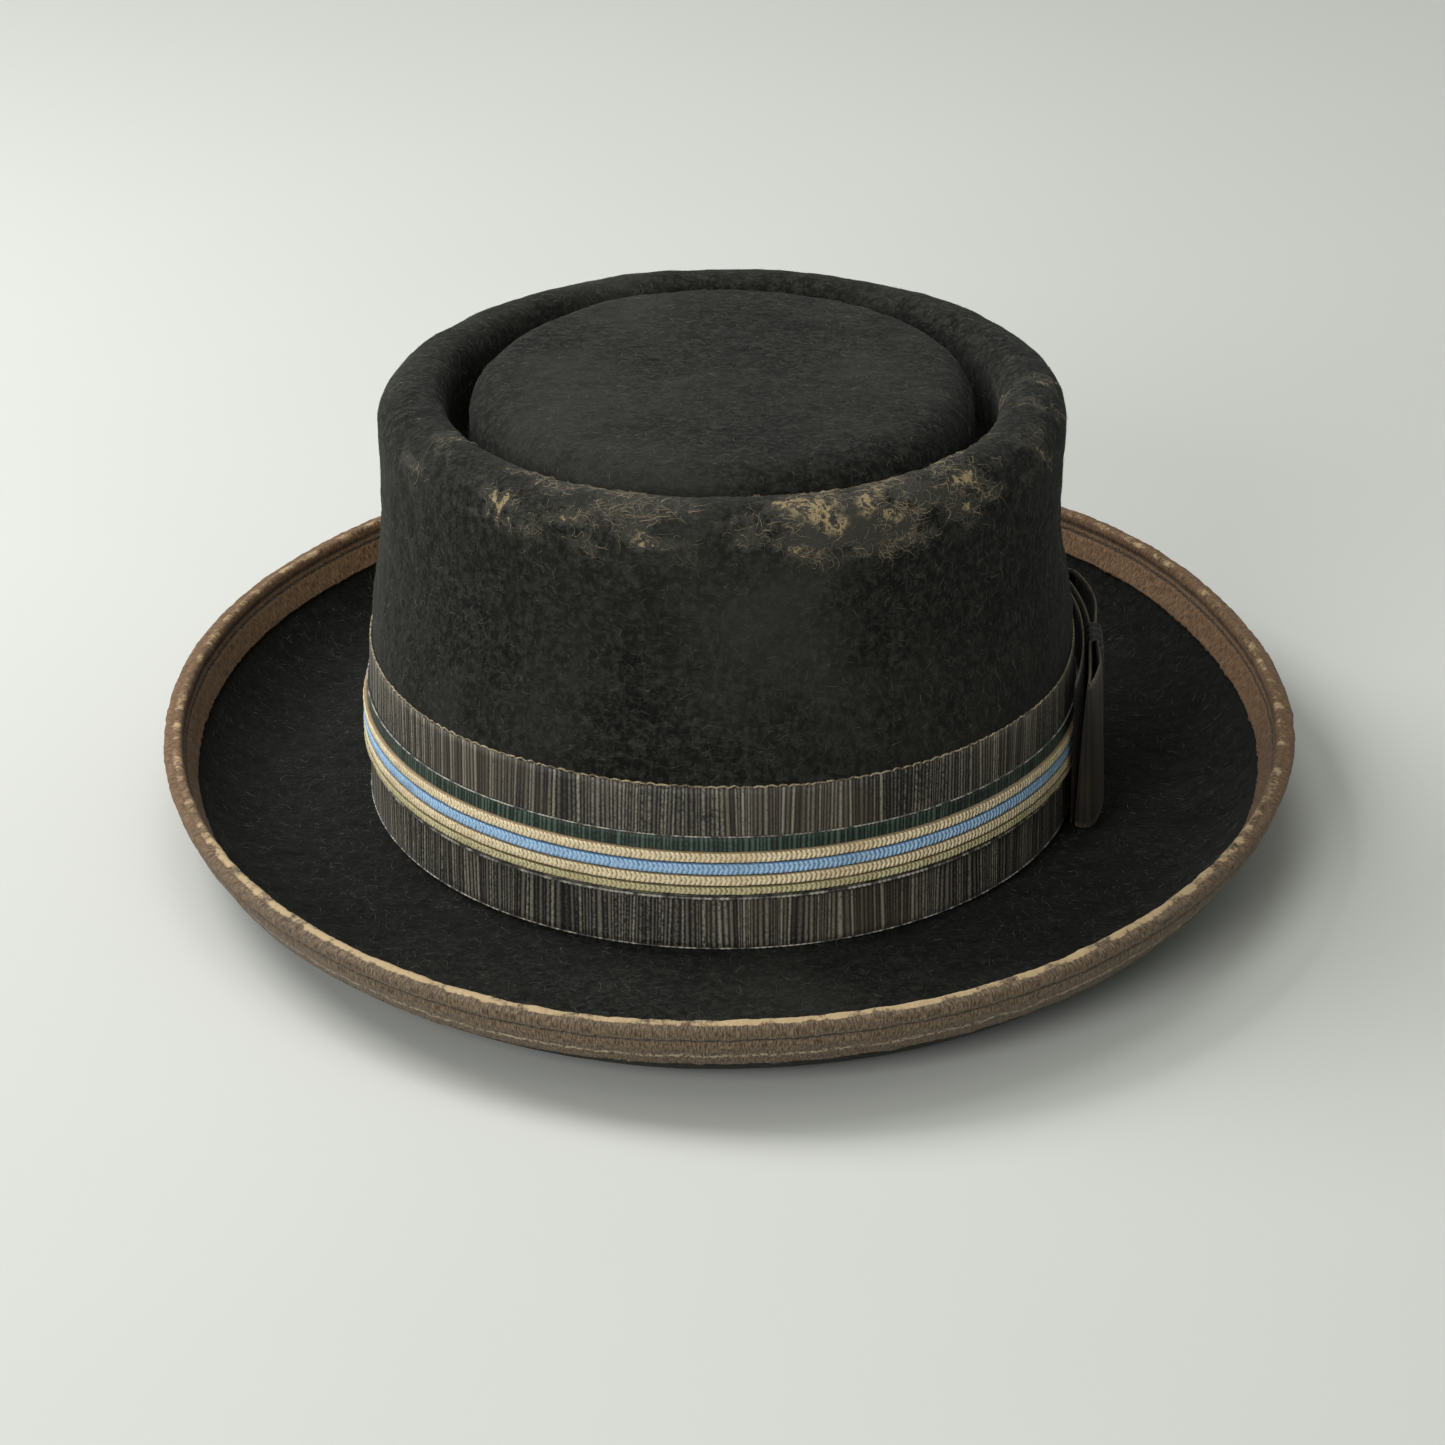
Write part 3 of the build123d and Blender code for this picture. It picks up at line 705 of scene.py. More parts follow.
# %% One helper for every kind of hair
def hairs(name, rows, columns, reach, lean, thick, lift, points=6, curl=0.5):
    """Loose hairs from places on the felt. reach is their length in millimetres, lean their direction."""
    rng = dice(name)
    count = len(rows)
    t = np.linspace(0, 1, points)
    bend = rng.normal(0, curl, count)[:, None] * t * 2
    heading = lean[:, None] + bend + rng.normal(0, 0.25 * curl, (count, points)).cumsum(1)
    step = (reach / (points - 1))[:, None]
    down = np.cumsum(np.sin(heading) * step, 1) / 1.15
    across = np.cumsum(np.cos(heading) * step, 1) / column_step[np.round(rows).astype(int)][:, None]
    height = lift[:, None] * (0.15 + np.sin(np.pi * (t * rng.uniform(0.5, 1.1, count)[:, None])))
    paths = on_felt(rows[:, None] + down, columns[:, None] + across, height)
    taper = thick[:, None] * (1 - 0.55 * t)
    return strands(name, paths, taper, marks={"shade": rng.random(count)[:, None] ** 2})


def hair_paint(name, dull, bright):
    paint = Paint(name)
    shade = paint.mark("shade")
    return paint.finish(paint.mix(shade, dull, bright), 0.7, Sheen_Weight=0.2)


print("hair tools ready")

# %% Nap hairs
rng = dice("nap hairs")
hair_count = 15000
area = np.cumsum(row_width[:outer_rows] * free_rows[:outer_rows] ** 2)
hair_rows = np.interp(rng.random(hair_count) * area[-1], area, np.arange(outer_rows))
dark_hair = hair_paint("dark loose hair", tone(0.020, 0.020, 0.017), tone(0.22, 0.21, 0.175))
nap_hairs = hairs("felt_nap_hairs", hair_rows, rng.random(hair_count) * felt_columns,
                  rng.uniform(0.8, 3.2, hair_count), rng.uniform(0, 2 * np.pi, hair_count),
                  rng.uniform(0.012, 0.034, hair_count), rng.uniform(0.02, 0.25, hair_count))
dress(nap_hairs, dark_hair, "felt")

# %% [markdown]
# Where the rim has torn, the pale core of the felt frays into longer and paler fibres. They could be
# painted, but at the rim they are seen against the dark dome, so they are strands as well. They start on
# the border of the torn places, which the wear mark already knows, and mostly follow the rim.

# %% Frayed fibres at the worn rim
rim_rows = np.flatnonzero(rim_wear_rows > 0.2)
rim_worn = worn[rim_rows]
edge = np.abs(rim_worn - 0.62) < 0.10
strong = np.clip(worn_round[None, :] - 0.25, 0, 2) ** 2 * edge
chances = np.cumsum(strong.ravel())
fray_count = 2600
picked = np.searchsorted(chances, rng.random(fray_count) * chances[-1])
fray_rows, fray_columns = rim_rows[picked // felt_columns], picked % felt_columns
pale_hair = hair_paint("pale frayed core", tone(0.13, 0.102, 0.062), tone(0.70, 0.55, 0.31))
frayed = hairs("rim_frayed_fibres", fray_rows + rng.normal(0, 0.4, fray_count),
               fray_columns + rng.normal(0, 0.6, fray_count),
               rng.uniform(0.8, 4.2, fray_count), rng.normal(0.0, 0.5, fray_count),
               rng.uniform(0.018, 0.042, fray_count), rng.uniform(0.03, 0.35, fray_count), curl=0.9)
dress(frayed, pale_hair, "felt")

# %% [markdown]
# Grosgrain ribbon has upright ribs, because a thick weft runs under a fine warp. The ribs are a little
# uneven on old ribbon, and the warp has worn off some crests, which now catch the light. Each rib is
# real shape: the ring has five or six columns for every rib.

# %% Ribbed ribbon rings
def rib_wave(along, length, pitch, name):
    """For places along a ring: the height of the rib there, 0 to 1, and how worn its crest is."""
    rng = dice(name)
    count = int(length / pitch)
    edges = np.cumsum(rng.uniform(0.55, 1.45, count))
    edges = np.concatenate([[0], edges / edges[-1] * length])
    along = np.mod(along, length)
    rib = np.clip(np.searchsorted(edges, along, side="right") - 1, 0, count - 1)
    share = (along - edges[rib]) / (edges[rib + 1] - edges[rib])
    tall, pale = rng.uniform(0.55, 1, count), rng.random(count) ** 2.2
    wave = np.sin(np.pi * share) ** 0.7
    return wave * tall[rib], pale[rib] * np.clip(wave * 2 - 1, 0, 1)


print("rib tool ready")

# %% A closed ring of cloth
def ring_layer(name, run, near_by, far_by, columns, spacing, shape):
    """A ring between two distances from a run, and its length. shape gives its outer face's relief."""
    turns, length = even_turns((run[0][0] + run[-1][0]) / 2, (run[0][1] + run[-1][1]) / 2, columns)
    face = rounded(offset_run(run, far_by), spacing)
    back = rounded(offset_run(run, near_by), spacing * 4)[::-1]
    profile = np.concatenate([face, back])
    grid = swept(profile, turns)
    outwards = grid_normals(grid, close_rows=True)[:len(face)]
    across = np.linspace(0, 1, len(face))[:, None]
    along = np.arange(columns)[None, :] / columns * length
    relief, marks = shape(across, along, length, grid[:len(face)])
    grid[:len(face)] += outwards * relief[..., None]
    plain_back = np.zeros((len(back), columns))
    spread = {key: np.concatenate([np.broadcast_to(value, relief.shape), plain_back])
              for key, value in marks.items()}
    grid = settle(grid)
    piece = mesh_piece(name, grid.reshape(-1, 3), grid_faces(len(profile), columns, close_rows=True), spread)
    return piece, length


def ribbed(pitch, depth, drift, name):
    """The relief of a ribbed ribbon, for ring_layer."""
    def shape(across, along, length, grid):
        round_way = along / length * 2 * np.pi
        sway = drift * np.sin(round_way * 17 + 1.3) + 0.5 * drift * np.sin(round_way * 61 + 0.4)
        wave, pale = rib_wave(along + sway * across, length, pitch, name)
        edge = np.clip(np.minimum(across, 1 - across) * 30, 0, 1)
        return depth * (wave - 0.5) * edge + 0.1 * lumps(grid, 30, name), {"rib": wave, "pale": pale}
    return shape


# %% Grosgrain finish
def ribbon_paint(name, painted_shade_tone, crest, worn_crest, worn_share=0.8, warm=None):
    paint = Paint(name)
    rib, pale = paint.mark("rib"), paint.mark("pale")
    grain = paint.noise(1400, detail=2)
    patches = paint.noise(26, detail=3)
    # Painted shade and highlight: the colour runs from the first tone in the grooves between the ribs to the
    # second on their crests.
    colour = paint.mix(paint.between(rib + (grain - 0.5) * 0.5, 0.42, 0.92), painted_shade_tone, crest)
    if warm:
        colour = paint.mix(paint.between(patches, 0.45, 0.65) * 0.6, colour, warm)
    rubbed = pale * worn_share * paint.between(grain * 0.5 + patches * 0.5, 0.36, 0.58)
    colour = paint.mix(rubbed, colour, worn_crest)
    return paint.finish(colour, 0.62, paint.bump(grain, 0.35, 0.00015), Sheen_Weight=0.10,
                        Sheen_Roughness=0.4, Specular_IOR_Level=0.4)


print("ribbon tools ready")

# %% [markdown]
# The band is one wide ribbon, steamed tight round the foot of the crown. A plain ring with a bump would
# shine like paint, so the ring takes its ribs as shape and its worn crests as a mark for the finish.

# %% Hat band
band_width = 39.0
band_foot_z = brim_break_z + brim_break_radius
band_top_z = band_foot_z + band_width
band_run = wall_run(band_top_z, band_foot_z)
band, band_length = ring_layer("hat_band_ribbon", band_run, cloth_gap, cloth_gap + band_thick, 3000, 1.6,
                               ribbed(0.98, 0.30, 0.9, "band ribs"))
# Grooves in painted shade, crests with a painted highlight, then the worn crests' own pale colour.
band_finish = ribbon_paint("brown-black grosgrain", tone(0.0032, 0.0030, 0.0024), tone(0.115, 0.105, 0.080),
                           tone(0.38, 0.35, 0.27), warm=tone(0.048, 0.036, 0.024))
dress(band, band_finish, "band_ribbon", "hat_band")
declare_sheet(band, band_width, band_length, "stretched", "felt_hood")
print("band length, mm:", round(band_length, 1))

# %% [markdown]
# A narrow green ribbon lies over the band and carries the braids. It is made by the same call, a little
# further out, with finer and lower ribs.

# %% Striped ribbon
on_band = band_thick + 2 * cloth_gap
stripe_thick, stripe_width = 0.5, 15.3
stripe_foot_z = band_foot_z + 12.3
stripe_top_z = stripe_foot_z + stripe_width
stripe, stripe_length = ring_layer("green_stripe_ribbon", wall_run(stripe_top_z, stripe_foot_z), on_band,
                                   on_band + stripe_thick, 2700, 1.3, ribbed(1.1, 0.2, 0.2, "stripe ribs"))
# Grooves in painted shade and crests with a painted highlight, as on the band.
stripe_finish = ribbon_paint("green grosgrain", tone(0.006, 0.013, 0.009), tone(0.055, 0.095, 0.068),
                             tone(0.12, 0.17, 0.13), worn_share=0.5)
dress(stripe, stripe_finish, "green_ribbon", "stripe_ribbon")
declare_sheet(stripe, stripe_width, stripe_length, "stretched", "hat_band_ribbon")

# %% [markdown]
# Four flat braids are couched side by side on the green ribbon. A flat braid is strands that cross to
# and fro, so its face is two rows of slanting lobes that meet in the middle. Its edges step a little
# where each strand turns back.

# %% Flat braids
def plaited(lobe, depth, name):
    """The relief of a flat braid: slanting lobes either side of the middle."""
    def shape(across, along, length, grid):
        count = round(length / lobe)
        v = np.abs(2 * across - 1)
        lobes = np.abs(np.sin(np.pi * (along / length * count + 0.55 * v)))
        crown = 1 - v ** 4
        relief = depth * (lobes ** 0.6 - 0.5) * np.clip(crown * 2, 0, 1) - 0.12 * v ** 5
        relief = relief + 0.06 * lumps(grid, 2.6, name) + 0.05 * lumps(grid, 9, name + " long")
        return relief, {"lobe": lobes * crown}
    return shape


def braid_paint(name, painted_shade_tone, light, tinge):
    paint = Paint(name)
    lobe = paint.mark("lobe")
    grain = paint.noise(1700, detail=2)
    soil = paint.noise(60, detail=4)
    # Painted shade: darker between the lobes and towards the braid's edges, with the thread's own colour on
    # the lobes.
    colour = paint.mix(paint.between(lobe + (grain - 0.5) * 1.1, 0.05, 0.60), painted_shade_tone, light)
    colour = paint.mix(paint.between(soil, 0.50, 0.72) * 0.55, colour, tinge)
    return paint.finish(colour, 0.72, paint.bump(grain + lobe, 0.8, 0.0003), Sheen_Weight=0.08)


print("braid tools ready")

# %% Four braids
on_stripe = on_band + stripe_thick + cloth_gap
braid_thick, braid_gap, braid_overlap = 0.95, 0.3, 0.1
# Each braid's first tone is the painted shade between its lobes.
cream = braid_paint("cream cotton braid", tone(0.30, 0.205, 0.10), tone(0.92, 0.78, 0.50),
                    tone(0.55, 0.40, 0.22))
blue = braid_paint("pale blue cotton braid", tone(0.10, 0.22, 0.40), tone(0.42, 0.64, 0.88),
                   tone(0.22, 0.34, 0.46))
olive = braid_paint("straw olive braid", tone(0.17, 0.14, 0.055), tone(0.62, 0.55, 0.30),
                    tone(0.36, 0.29, 0.13))
braids = [("olive_braid", 1.9, olive, "olive_braid"), ("cream_braid_lower", 2.4, cream, "cream_braid"),
          ("blue_braid", 2.6, blue, "blue_braid"), ("cream_braid_upper", 2.4, cream, "cream_braid")]
braid_z = stripe_foot_z + 1.5
for node, width, finish, record_slot in braids:
    braid_run = wall_run(braid_z + width + braid_overlap, braid_z - braid_overlap)
    braid, _ = ring_layer(node + "_plait", braid_run, on_stripe, on_stripe + braid_thick, 2200, 0.27,
                          plaited(1.15, 0.26, node))
    dress(braid, finish, record_slot, node)
    braid_z += width + braid_gap

# %% [markdown]
# Fine threads finish the edges: a twisted one whipped in small scallops along the band's upper edge, and
# beaded ones where the striped ribbon is caught down. A dark one under the lowest braid is painted shadow.
# Each is a tube that runs all the way round.

# %% Edge threads
def thread_ring(name, z, distance, radius, points, wander=None, phase=0.0, bead=0.0, pitch=1.1):
    """A thread round the crown at a height and a distance from the wall."""
    a, b, _, _ = wall_at(z)
    turns, length = even_turns(a, b, points)
    along = np.arange(points) / points * length
    count = round(length / pitch)
    lift, out = wander(along, length, phase) if wander else (0 * along, 0 * along)
    reach = distance + out
    path = np.stack([(a + reach) * np.cos(turns), (b + reach) * np.sin(turns), z + lift], -1)
    beads = radius * (1 + bead * (np.abs(np.sin(np.pi * along / length * count)) - 0.5))
    rng = dice(name)
    shade = np.interp(along, np.arange(0, length, 1.4), rng.random(len(np.arange(0, length, 1.4))))
    return strands(name, settle(path)[None], beads, sides=5, closed=True, marks={"shade": shade})


def whipped(along, length, phase):
    """A twisted pair of threads that rises and falls in scallops."""
    scallops, twists = round(length / 2.8), round(length / 1.5)
    rng = dice("scallops")
    uneven = np.interp(along, np.linspace(0, length, scallops), rng.uniform(0.5, 1.4, scallops))
    rise = 0.38 * uneven * np.abs(np.sin(np.pi * along / length * scallops))
    twist = 2 * np.pi * along / length * twists + phase
    return rise + 0.13 * np.sin(twist), 0.13 * np.cos(twist)


def thread_paint(name, dull, bright):
    paint = Paint(name)
    shade = paint.mark("shade") + (paint.noise(2200, detail=2) - 0.5) * 0.6
    return paint.finish(paint.mix(paint.between(shade, 0.15, 0.85), dull, bright), 0.6, Sheen_Weight=0.1)


print("edge thread tools ready")

# %% Threads on the band and the striped ribbon
edging_thread = thread_paint("beige edging thread", tone(0.10, 0.078, 0.048), tone(0.46, 0.37, 0.23))
pearl_thread = thread_paint("grey pearl thread", tone(0.05, 0.046, 0.040), tone(0.42, 0.39, 0.33))
dark_thread = thread_paint("dark beaded thread", tone(0.006, 0.006, 0.005), tone(0.10, 0.09, 0.07))
for strand, phase in (("a", 0.0), ("b", math.pi)):
    edging = thread_ring("band_top_edging_" + strand, band_top_z + 0.05, cloth_gap + band_thick * 0.6, 0.15,
                         2600, whipped, phase)
    dress(edging, edging_thread, "band_ribbon")
# name, height, distance, radius, points, bead, pitch, finish, slot
edge_threads = [
    ("stripe_top_thread", stripe_top_z, on_stripe + 0.02, 0.16, 2600, 0.9, 1.1, pearl_thread, "green_ribbon"),
    ("stripe_foot_thread", stripe_foot_z + 0.35, on_stripe + 0.05, 0.30, 2600, 0.8, 1.3, pearl_thread,
     "green_ribbon"),
    # A dark thread that is painted shadow under the lowest braid, not a thread of the hat.
    ("stripe_shadow_thread", stripe_foot_z + 1.05, on_stripe + 0.1, 0.30, 1800, 0.5, 1.1, dark_thread,
     "green_ribbon"),
    ("band_foot_edging", band_foot_z + 0.12, on_band + 0.05, 0.13, 2600, 1.1, 1.6, pearl_thread,
     "band_ribbon"),
]
for name, z, distance, radius, points, bead, pitch, finish, record_slot in edge_threads:
    dress(thread_ring(name, z, distance, radius, points, bead=bead, pitch=pitch), finish, record_slot)

# %% [markdown]
# A few short upright stitches hold the band to the felt at the back. Each is one tube that is thickest in
# the middle, where the thread stands proud.

# %% Tacks at the back of the band
tack_length, tack_drop = 3.0, 1.2
tack_paths = []
for angle in (48, 90, 132):
    turn = math.radians(angle)
    places = []
    for share in np.linspace(0, 1, 9):
        a, b, z, _ = wall_at(band_top_z - tack_drop - tack_length * share)
        stand_off = on_band + 0.22 + 0.12 * math.sin(math.pi * share)
        places.append([(a + stand_off) * math.cos(turn), (b + stand_off) * math.sin(turn), z])
    tack_paths.append(settle(np.array(places)))
tack_radius = 0.24 * np.sin(np.linspace(0.35, np.pi - 0.35, 9))
tacks = strands("band_tack_bars", np.array(tack_paths), tack_radius, sides=8,
                reference=np.array([0.6, 0.5, 0.1]), marks={"shade": np.linspace(0, 1, 9)})
dress(tacks, dark_thread, "black_thread", "band_tacks")

# %% [markdown]
# The lip is bound with a ribbon folded over it. Years of hands have polished and scuffed it: the fold is
# rubbed pale, the stitch line pulls a crease into the outside, and the lower edge is a little ragged.

# %% Binding round the lip
binding_thick = 0.9
binding_in, binding_out = 10.0, 12.5
binding_ribbon_width = 24.3
seam_outside, seam_inside = 6.5, -4.5      # stitch lines, from the lip along the ribbon


def binding_wrap(distance, corner_radius):
    """One face of the binding, from its inside edge over the lip to its outside edge."""
    inside = offset_run(curl_run(curl_turn - binding_in / curl_radius, curl_turn), distance)
    outside_start = curl_turn - binding_out / (curl_radius + felt_thick)
    outside = offset_run(curl_run(outside_start, curl_turn), -felt_thick - distance)
    corners = []
    for a, b, z, _ in (inside[-1], outside[-1]):
        along, up = distance * math.cos(curl_turn), distance * math.sin(curl_turn)
        corners.append((a + along, b + along, z + up, corner_radius))
    return inside + corners + outside[::-1]


binding_columns = 2300
face = rounded(binding_wrap(cloth_gap + binding_thick, 1.3), 0.5)
back = rounded(binding_wrap(cloth_gap, 0.2), 2.5)[::-1]
binding_profile = np.concatenate([face, back])
lip_a, lip_b = felt_high[0], felt_high[1]
lip_turns, lip_length = even_turns(lip_a, lip_b, binding_columns)
binding_grid = swept(binding_profile, lip_turns)
binding_outwards = grid_normals(binding_grid, close_rows=True)
top_row = int(np.argmax(face[:, 2]))
steps = np.hypot((np.diff(face[:, 0]) + np.diff(face[:, 1])) / 2, np.diff(face[:, 2]))
from_lip = np.concatenate([[0], np.cumsum(steps)])
from_lip = (from_lip - from_lip[top_row])[:, None]
print("lip length, mm:", round(lip_length, 1))

# %% Relief of the binding
def crease(depth, middle, width):
    return -depth * np.exp(-((from_lip - middle) / width) ** 2)


face_grid = binding_grid[:len(face)]
round_lip = np.arange(binding_columns)[None, :] / binding_columns * lip_length
puckers = np.sin(2 * np.pi * round(lip_length / 2.5) * round_lip / lip_length)
relief = crease(0.50, seam_outside, 0.42) * (1 + 0.25 * puckers)
relief = relief + crease(0.36, seam_inside, 0.5) * (1 + 0.3 * puckers)
for depth, middle, width in ((-0.16, 3.4, 1.9), (-0.14, 9.2, 1.7), (0.14, 1.5, 0.35), (-0.16, -1.6, 0.9),
                             (0.40, -3.0, 0.55)):
    relief = relief + crease(depth, middle, width)
relief = relief + 0.11 * lumps(face_grid, 11, "binding puffs") + 0.07 * lumps(face_grid, 4, "binding scuffs")
relief = relief + 0.045 * lumps(face_grid * [1, 1, 0.35], 1.9, "binding ribs")
edge_share = step_up(np.abs(from_lip), 8.6, 12.0)
low_grid = face_grid * [1, 1, 0.1]
ragged = 0.26 * lumps(low_grid, 2.2, "ragged edge") + 0.12 * lumps(low_grid, 9, "edge wave")
relief = relief - 0.30 * edge_share
print("binding relief, mm:", round(float(relief.min()), 2), "to", round(float(relief.max()), 2))

# %% Binding mesh
along_profile = np.gradient(face_grid, axis=0)
along_profile /= np.linalg.norm(along_profile, axis=-1, keepdims=True)
binding_grid[:len(face)] += binding_outwards[:len(face)] * relief[..., None]
binding_grid[:len(face)] += along_profile * (ragged * edge_share * np.sign(from_lip))[..., None]
binding_grid = settle(binding_grid)
hidden_back = np.full((len(back), binding_columns), 9.0)
binding_marks = {key: np.concatenate([np.broadcast_to(value, relief.shape), hidden_back])
                 for key, value in (("lip", from_lip), ("round", round_lip))}
binding = mesh_piece("brim_binding_ribbon", binding_grid.reshape(-1, 3),
                     grid_faces(len(binding_profile), binding_columns, close_rows=True), binding_marks)
print("binding rows:", len(binding_profile))

# %% [markdown]
# The binding's colour follows where the hands have been: rubbed gold along the fold, taupe at the front
# and a warmer brown at the sides and the back. The crease inside the lip and both stitch creases are dark
# with painted shade. Distances from the lip and round it are stored on the mesh, so that masks can be
# written in millimetres along the ribbon.

# %% Binding finish
paint = Paint("worn taupe binding ribbon")
lip = paint.mark("lip")
round_way = paint.mark("round")
cross = paint.node("ShaderNodeCombineXYZ", {}, [round_way, lip * 0.22, 0.0])
ribs = paint.node("ShaderNodeTexNoise", {}, {"Vector": cross, "Scale": 2.6, "Detail": 3.0, "Roughness": 0.6})
scuff = paint.noise(160, detail=5, roughness=0.7)
fine = paint.noise(1300, detail=3, roughness=0.6)
where = paint.node("ShaderNodeSeparateXYZ", {}, [paint.place()], output=1)
front = paint.between(where, -0.02, -0.13)
rib_share = paint.between(ribs, 0.32, 0.68)
cloth = paint.mix(rib_share, tone(0.036, 0.023, 0.012), tone(0.180, 0.124, 0.074))
warm = paint.mix(rib_share, tone(0.048, 0.024, 0.009), tone(0.230, 0.120, 0.048))
cloth = paint.mix(front, warm, cloth)
grainy = paint.mix(paint.between(fine * 0.6 + ribs * 0.4, 0.50, 0.68) * 0.50, cloth, tone(0.30, 0.22, 0.13))
# Painted shade in the crease just inside the lip.
groove = paint.between(lip, -3.7, -3.0) * (1 - paint.between(lip, -2.8, -1.9))
grainy = paint.mix(groove * 0.7, grainy, tone(0.022, 0.014, 0.008))
near_lip = paint.between(lip, -3.2, -0.4) * (1 - paint.between(lip, 0.9, 3.8))
rub = paint.between(near_lip * (0.34 + front * 0.13) + scuff * 0.85 + fine * 0.20, 0.86, 1.00)
rubbed = paint.mix(rub * 0.85, grainy, tone(0.52, 0.38, 0.205))
edge = paint.between(lip, 11.4, 12.3) * paint.between(fine, 0.42, 0.56) * (1 - paint.between(lip, 12.6, 13.2))
rubbed = paint.mix(edge * 0.75, rubbed, tone(0.46, 0.38, 0.27))
# Painted shade along both stitch creases.
seam = paint.between(lip, 6.1, 6.45) * (1 - paint.between(lip, 6.6, 6.95))
seam_in = paint.between(lip, -4.9, -4.6) * (1 - paint.between(lip, -4.4, -4.0))
colour = paint.mix((seam + seam_in) * 0.85, rubbed, tone(0.012, 0.009, 0.007))
binding_normal = paint.bump(ribs * 0.5 + fine * 0.5 + scuff * 0.3, 0.8, 0.0004)
binding_finish = paint.finish(colour, 0.74, binding_normal, Sheen_Weight=0.06, Specular_IOR_Level=0.35)
dress(binding, binding_finish, "binding_ribbon", "brim_binding")
declare_sheet(binding, binding_ribbon_width, lip_length, "folded", "felt_hood")


# %% [markdown]
# The binding's stitches lie end to end in the creases. Each is a short thread that dips into the ribbon
# at both ends, and no two are quite the same length.

# %% Binding stitches
def stitch_line(name, row, pitch, thick, lift):
    """Stitches along a row of the binding."""
    rng = dice(name)
    count = round(lip_length / pitch)
    t = np.linspace(0, 1, 6)
    spacing = binding_columns / count
    starts = (np.arange(count) + rng.normal(0, 0.05, count))[:, None] / count * binding_columns
    columns = (starts + t * spacing * rng.uniform(0.66, 0.80, count)[:, None]) % binding_columns
    low = np.floor(columns).astype(int) % binding_columns
    share = (columns - np.floor(columns))[..., None]
    line, out = binding_grid[row], grid_normals(binding_grid, close_rows=True)[row]
    paths = line[low] * (1 - share) + line[(low + 1) % binding_columns] * share
    paths = paths + out[low] * (lift * (np.sin(np.pi * t) - 0.35))[None, :, None]
    shade = rng.random(count)[:, None]
    return strands(name, paths, thick, sides=5, marks={"shade": shade})


outside_row = int(np.argmin(np.abs(from_lip - seam_outside)))
inside_row = int(np.argmin(np.abs(from_lip - seam_inside)))
binding_thread = thread_paint("dark binding thread", tone(0.010, 0.008, 0.006), tone(0.060, 0.043, 0.030))
for side, row, nodes in (("outside", outside_row, ["binding_stitches"]), ("inside", inside_row, [])):
    stitched = stitch_line("binding_stitches_" + side, row, 2.5, 0.16, 0.22)
    dress(stitched, binding_thread, "binding_thread", *nodes)

# %% [markdown]
# The bow is flat and sits over the band's joint, on the wearer's left. It is four ribbons: a backing, two
# loops and a knot that wraps their pinched middle. Each is a path with a width, made into a thin closed
# strip, with ribs across it and a rubbed selvedge along both edges.

# %% Thin closed pieces
def outward_faces(points, faces):
    """The faces, turned over if the closed mesh would be inside out."""
    quads = faces[(faces >= 0).all(1)]
    a, b, c, d = (points[quads[:, k]] for k in range(4))
    inside = np.einsum("ij,ij->", a, np.cross(b, c)) + np.einsum("ij,ij->", a, np.cross(c, d))
    return faces if inside > 0 else faces[:, ::-1]


def slab(name, face, back, marks=None, closed=False):
    """A thin closed piece between two grids of points, one for each face."""
    rows, columns = face.shape[:2]
    points = settle(np.concatenate([face, back[::-1]])).reshape(-1, 3)
    faces = grid_faces(2 * rows, columns, close_rows=True, close_columns=closed)
    if not closed:
        i = np.arange(rows - 1)
        mirror = 2 * rows - 1 - i
        first = np.stack([i, mirror, mirror - 1, i + 1], 1) * columns
        last = first[:, ::-1] + columns - 1
        faces = np.concatenate([faces, first, last])
    spread = {key: np.concatenate([value, value[::-1]]).ravel() for key, value in (marks or {}).items()}
    return mesh_piece(name, points, outward_faces(points, faces), spread)


print("slab tool ready")


# %% Ribbon strips along a path
def even_path(points, spacing, closed=False):
    """The path resampled at even distances."""
    points = np.array(list(points) + (list(points[:1]) if closed else []), float)
    along = np.concatenate([[0], np.cumsum(np.linalg.norm(np.diff(points, axis=0), axis=1))])
    count = int(along[-1] / spacing)
    places = np.linspace(0, along[-1], count + 1)[:count if closed else None]
    return np.stack([np.interp(places, along, points[:, k]) for k in range(points.shape[1])], 1), along[-1]


def ribbon_strip(name, points, wide, width, thick, pitch=1.05, depth=0.14, closed=False, lift=None, rows=26,
                 narrowing=None):
    """A ribbed ribbon whose middle follows a path. wide is the direction across it."""
    path, length = even_path(points, 0.22, closed)
    forward = np.roll(path, -1, 0) - np.roll(path, 1, 0)
    if not closed:
        forward[0], forward[-1] = path[1] - path[0], path[-1] - path[-2]
    out = np.cross(forward, wide)
    out /= np.linalg.norm(out, axis=1, keepdims=True)
    across = np.linspace(-0.5, 0.5, rows)[:, None]
    along = np.linspace(0, length, len(path))[None, :]
    wave, pale = rib_wave(along[0], length, pitch, name)
    edge = np.clip((0.5 - np.abs(across)) * 24, 0, 1)
    relief = depth * (wave - 0.5)[None, :] * edge - 0.12 * (1 - edge)
    bowed = lift(across, along / length) if lift else 0 * across * along
    spread = width * (narrowing(along / length) if narrowing else 1)
    sideways = np.asarray(wide, float) * (across * spread)[..., None]
    middle = path[None] + sideways + out[None] * bowed[..., None]
    half_thick = out[None] * (thick / 2 + relief)[..., None]
    rubbed = np.clip(pale[None, :] * 0.6 + (1 - edge) * 0.9, 0, 1)
    marks = {"rib": np.broadcast_to(wave, rubbed.shape), "pale": rubbed}
    return slab(name, middle + half_thick, middle - half_thick, marks, closed), length


print("strip tools ready")

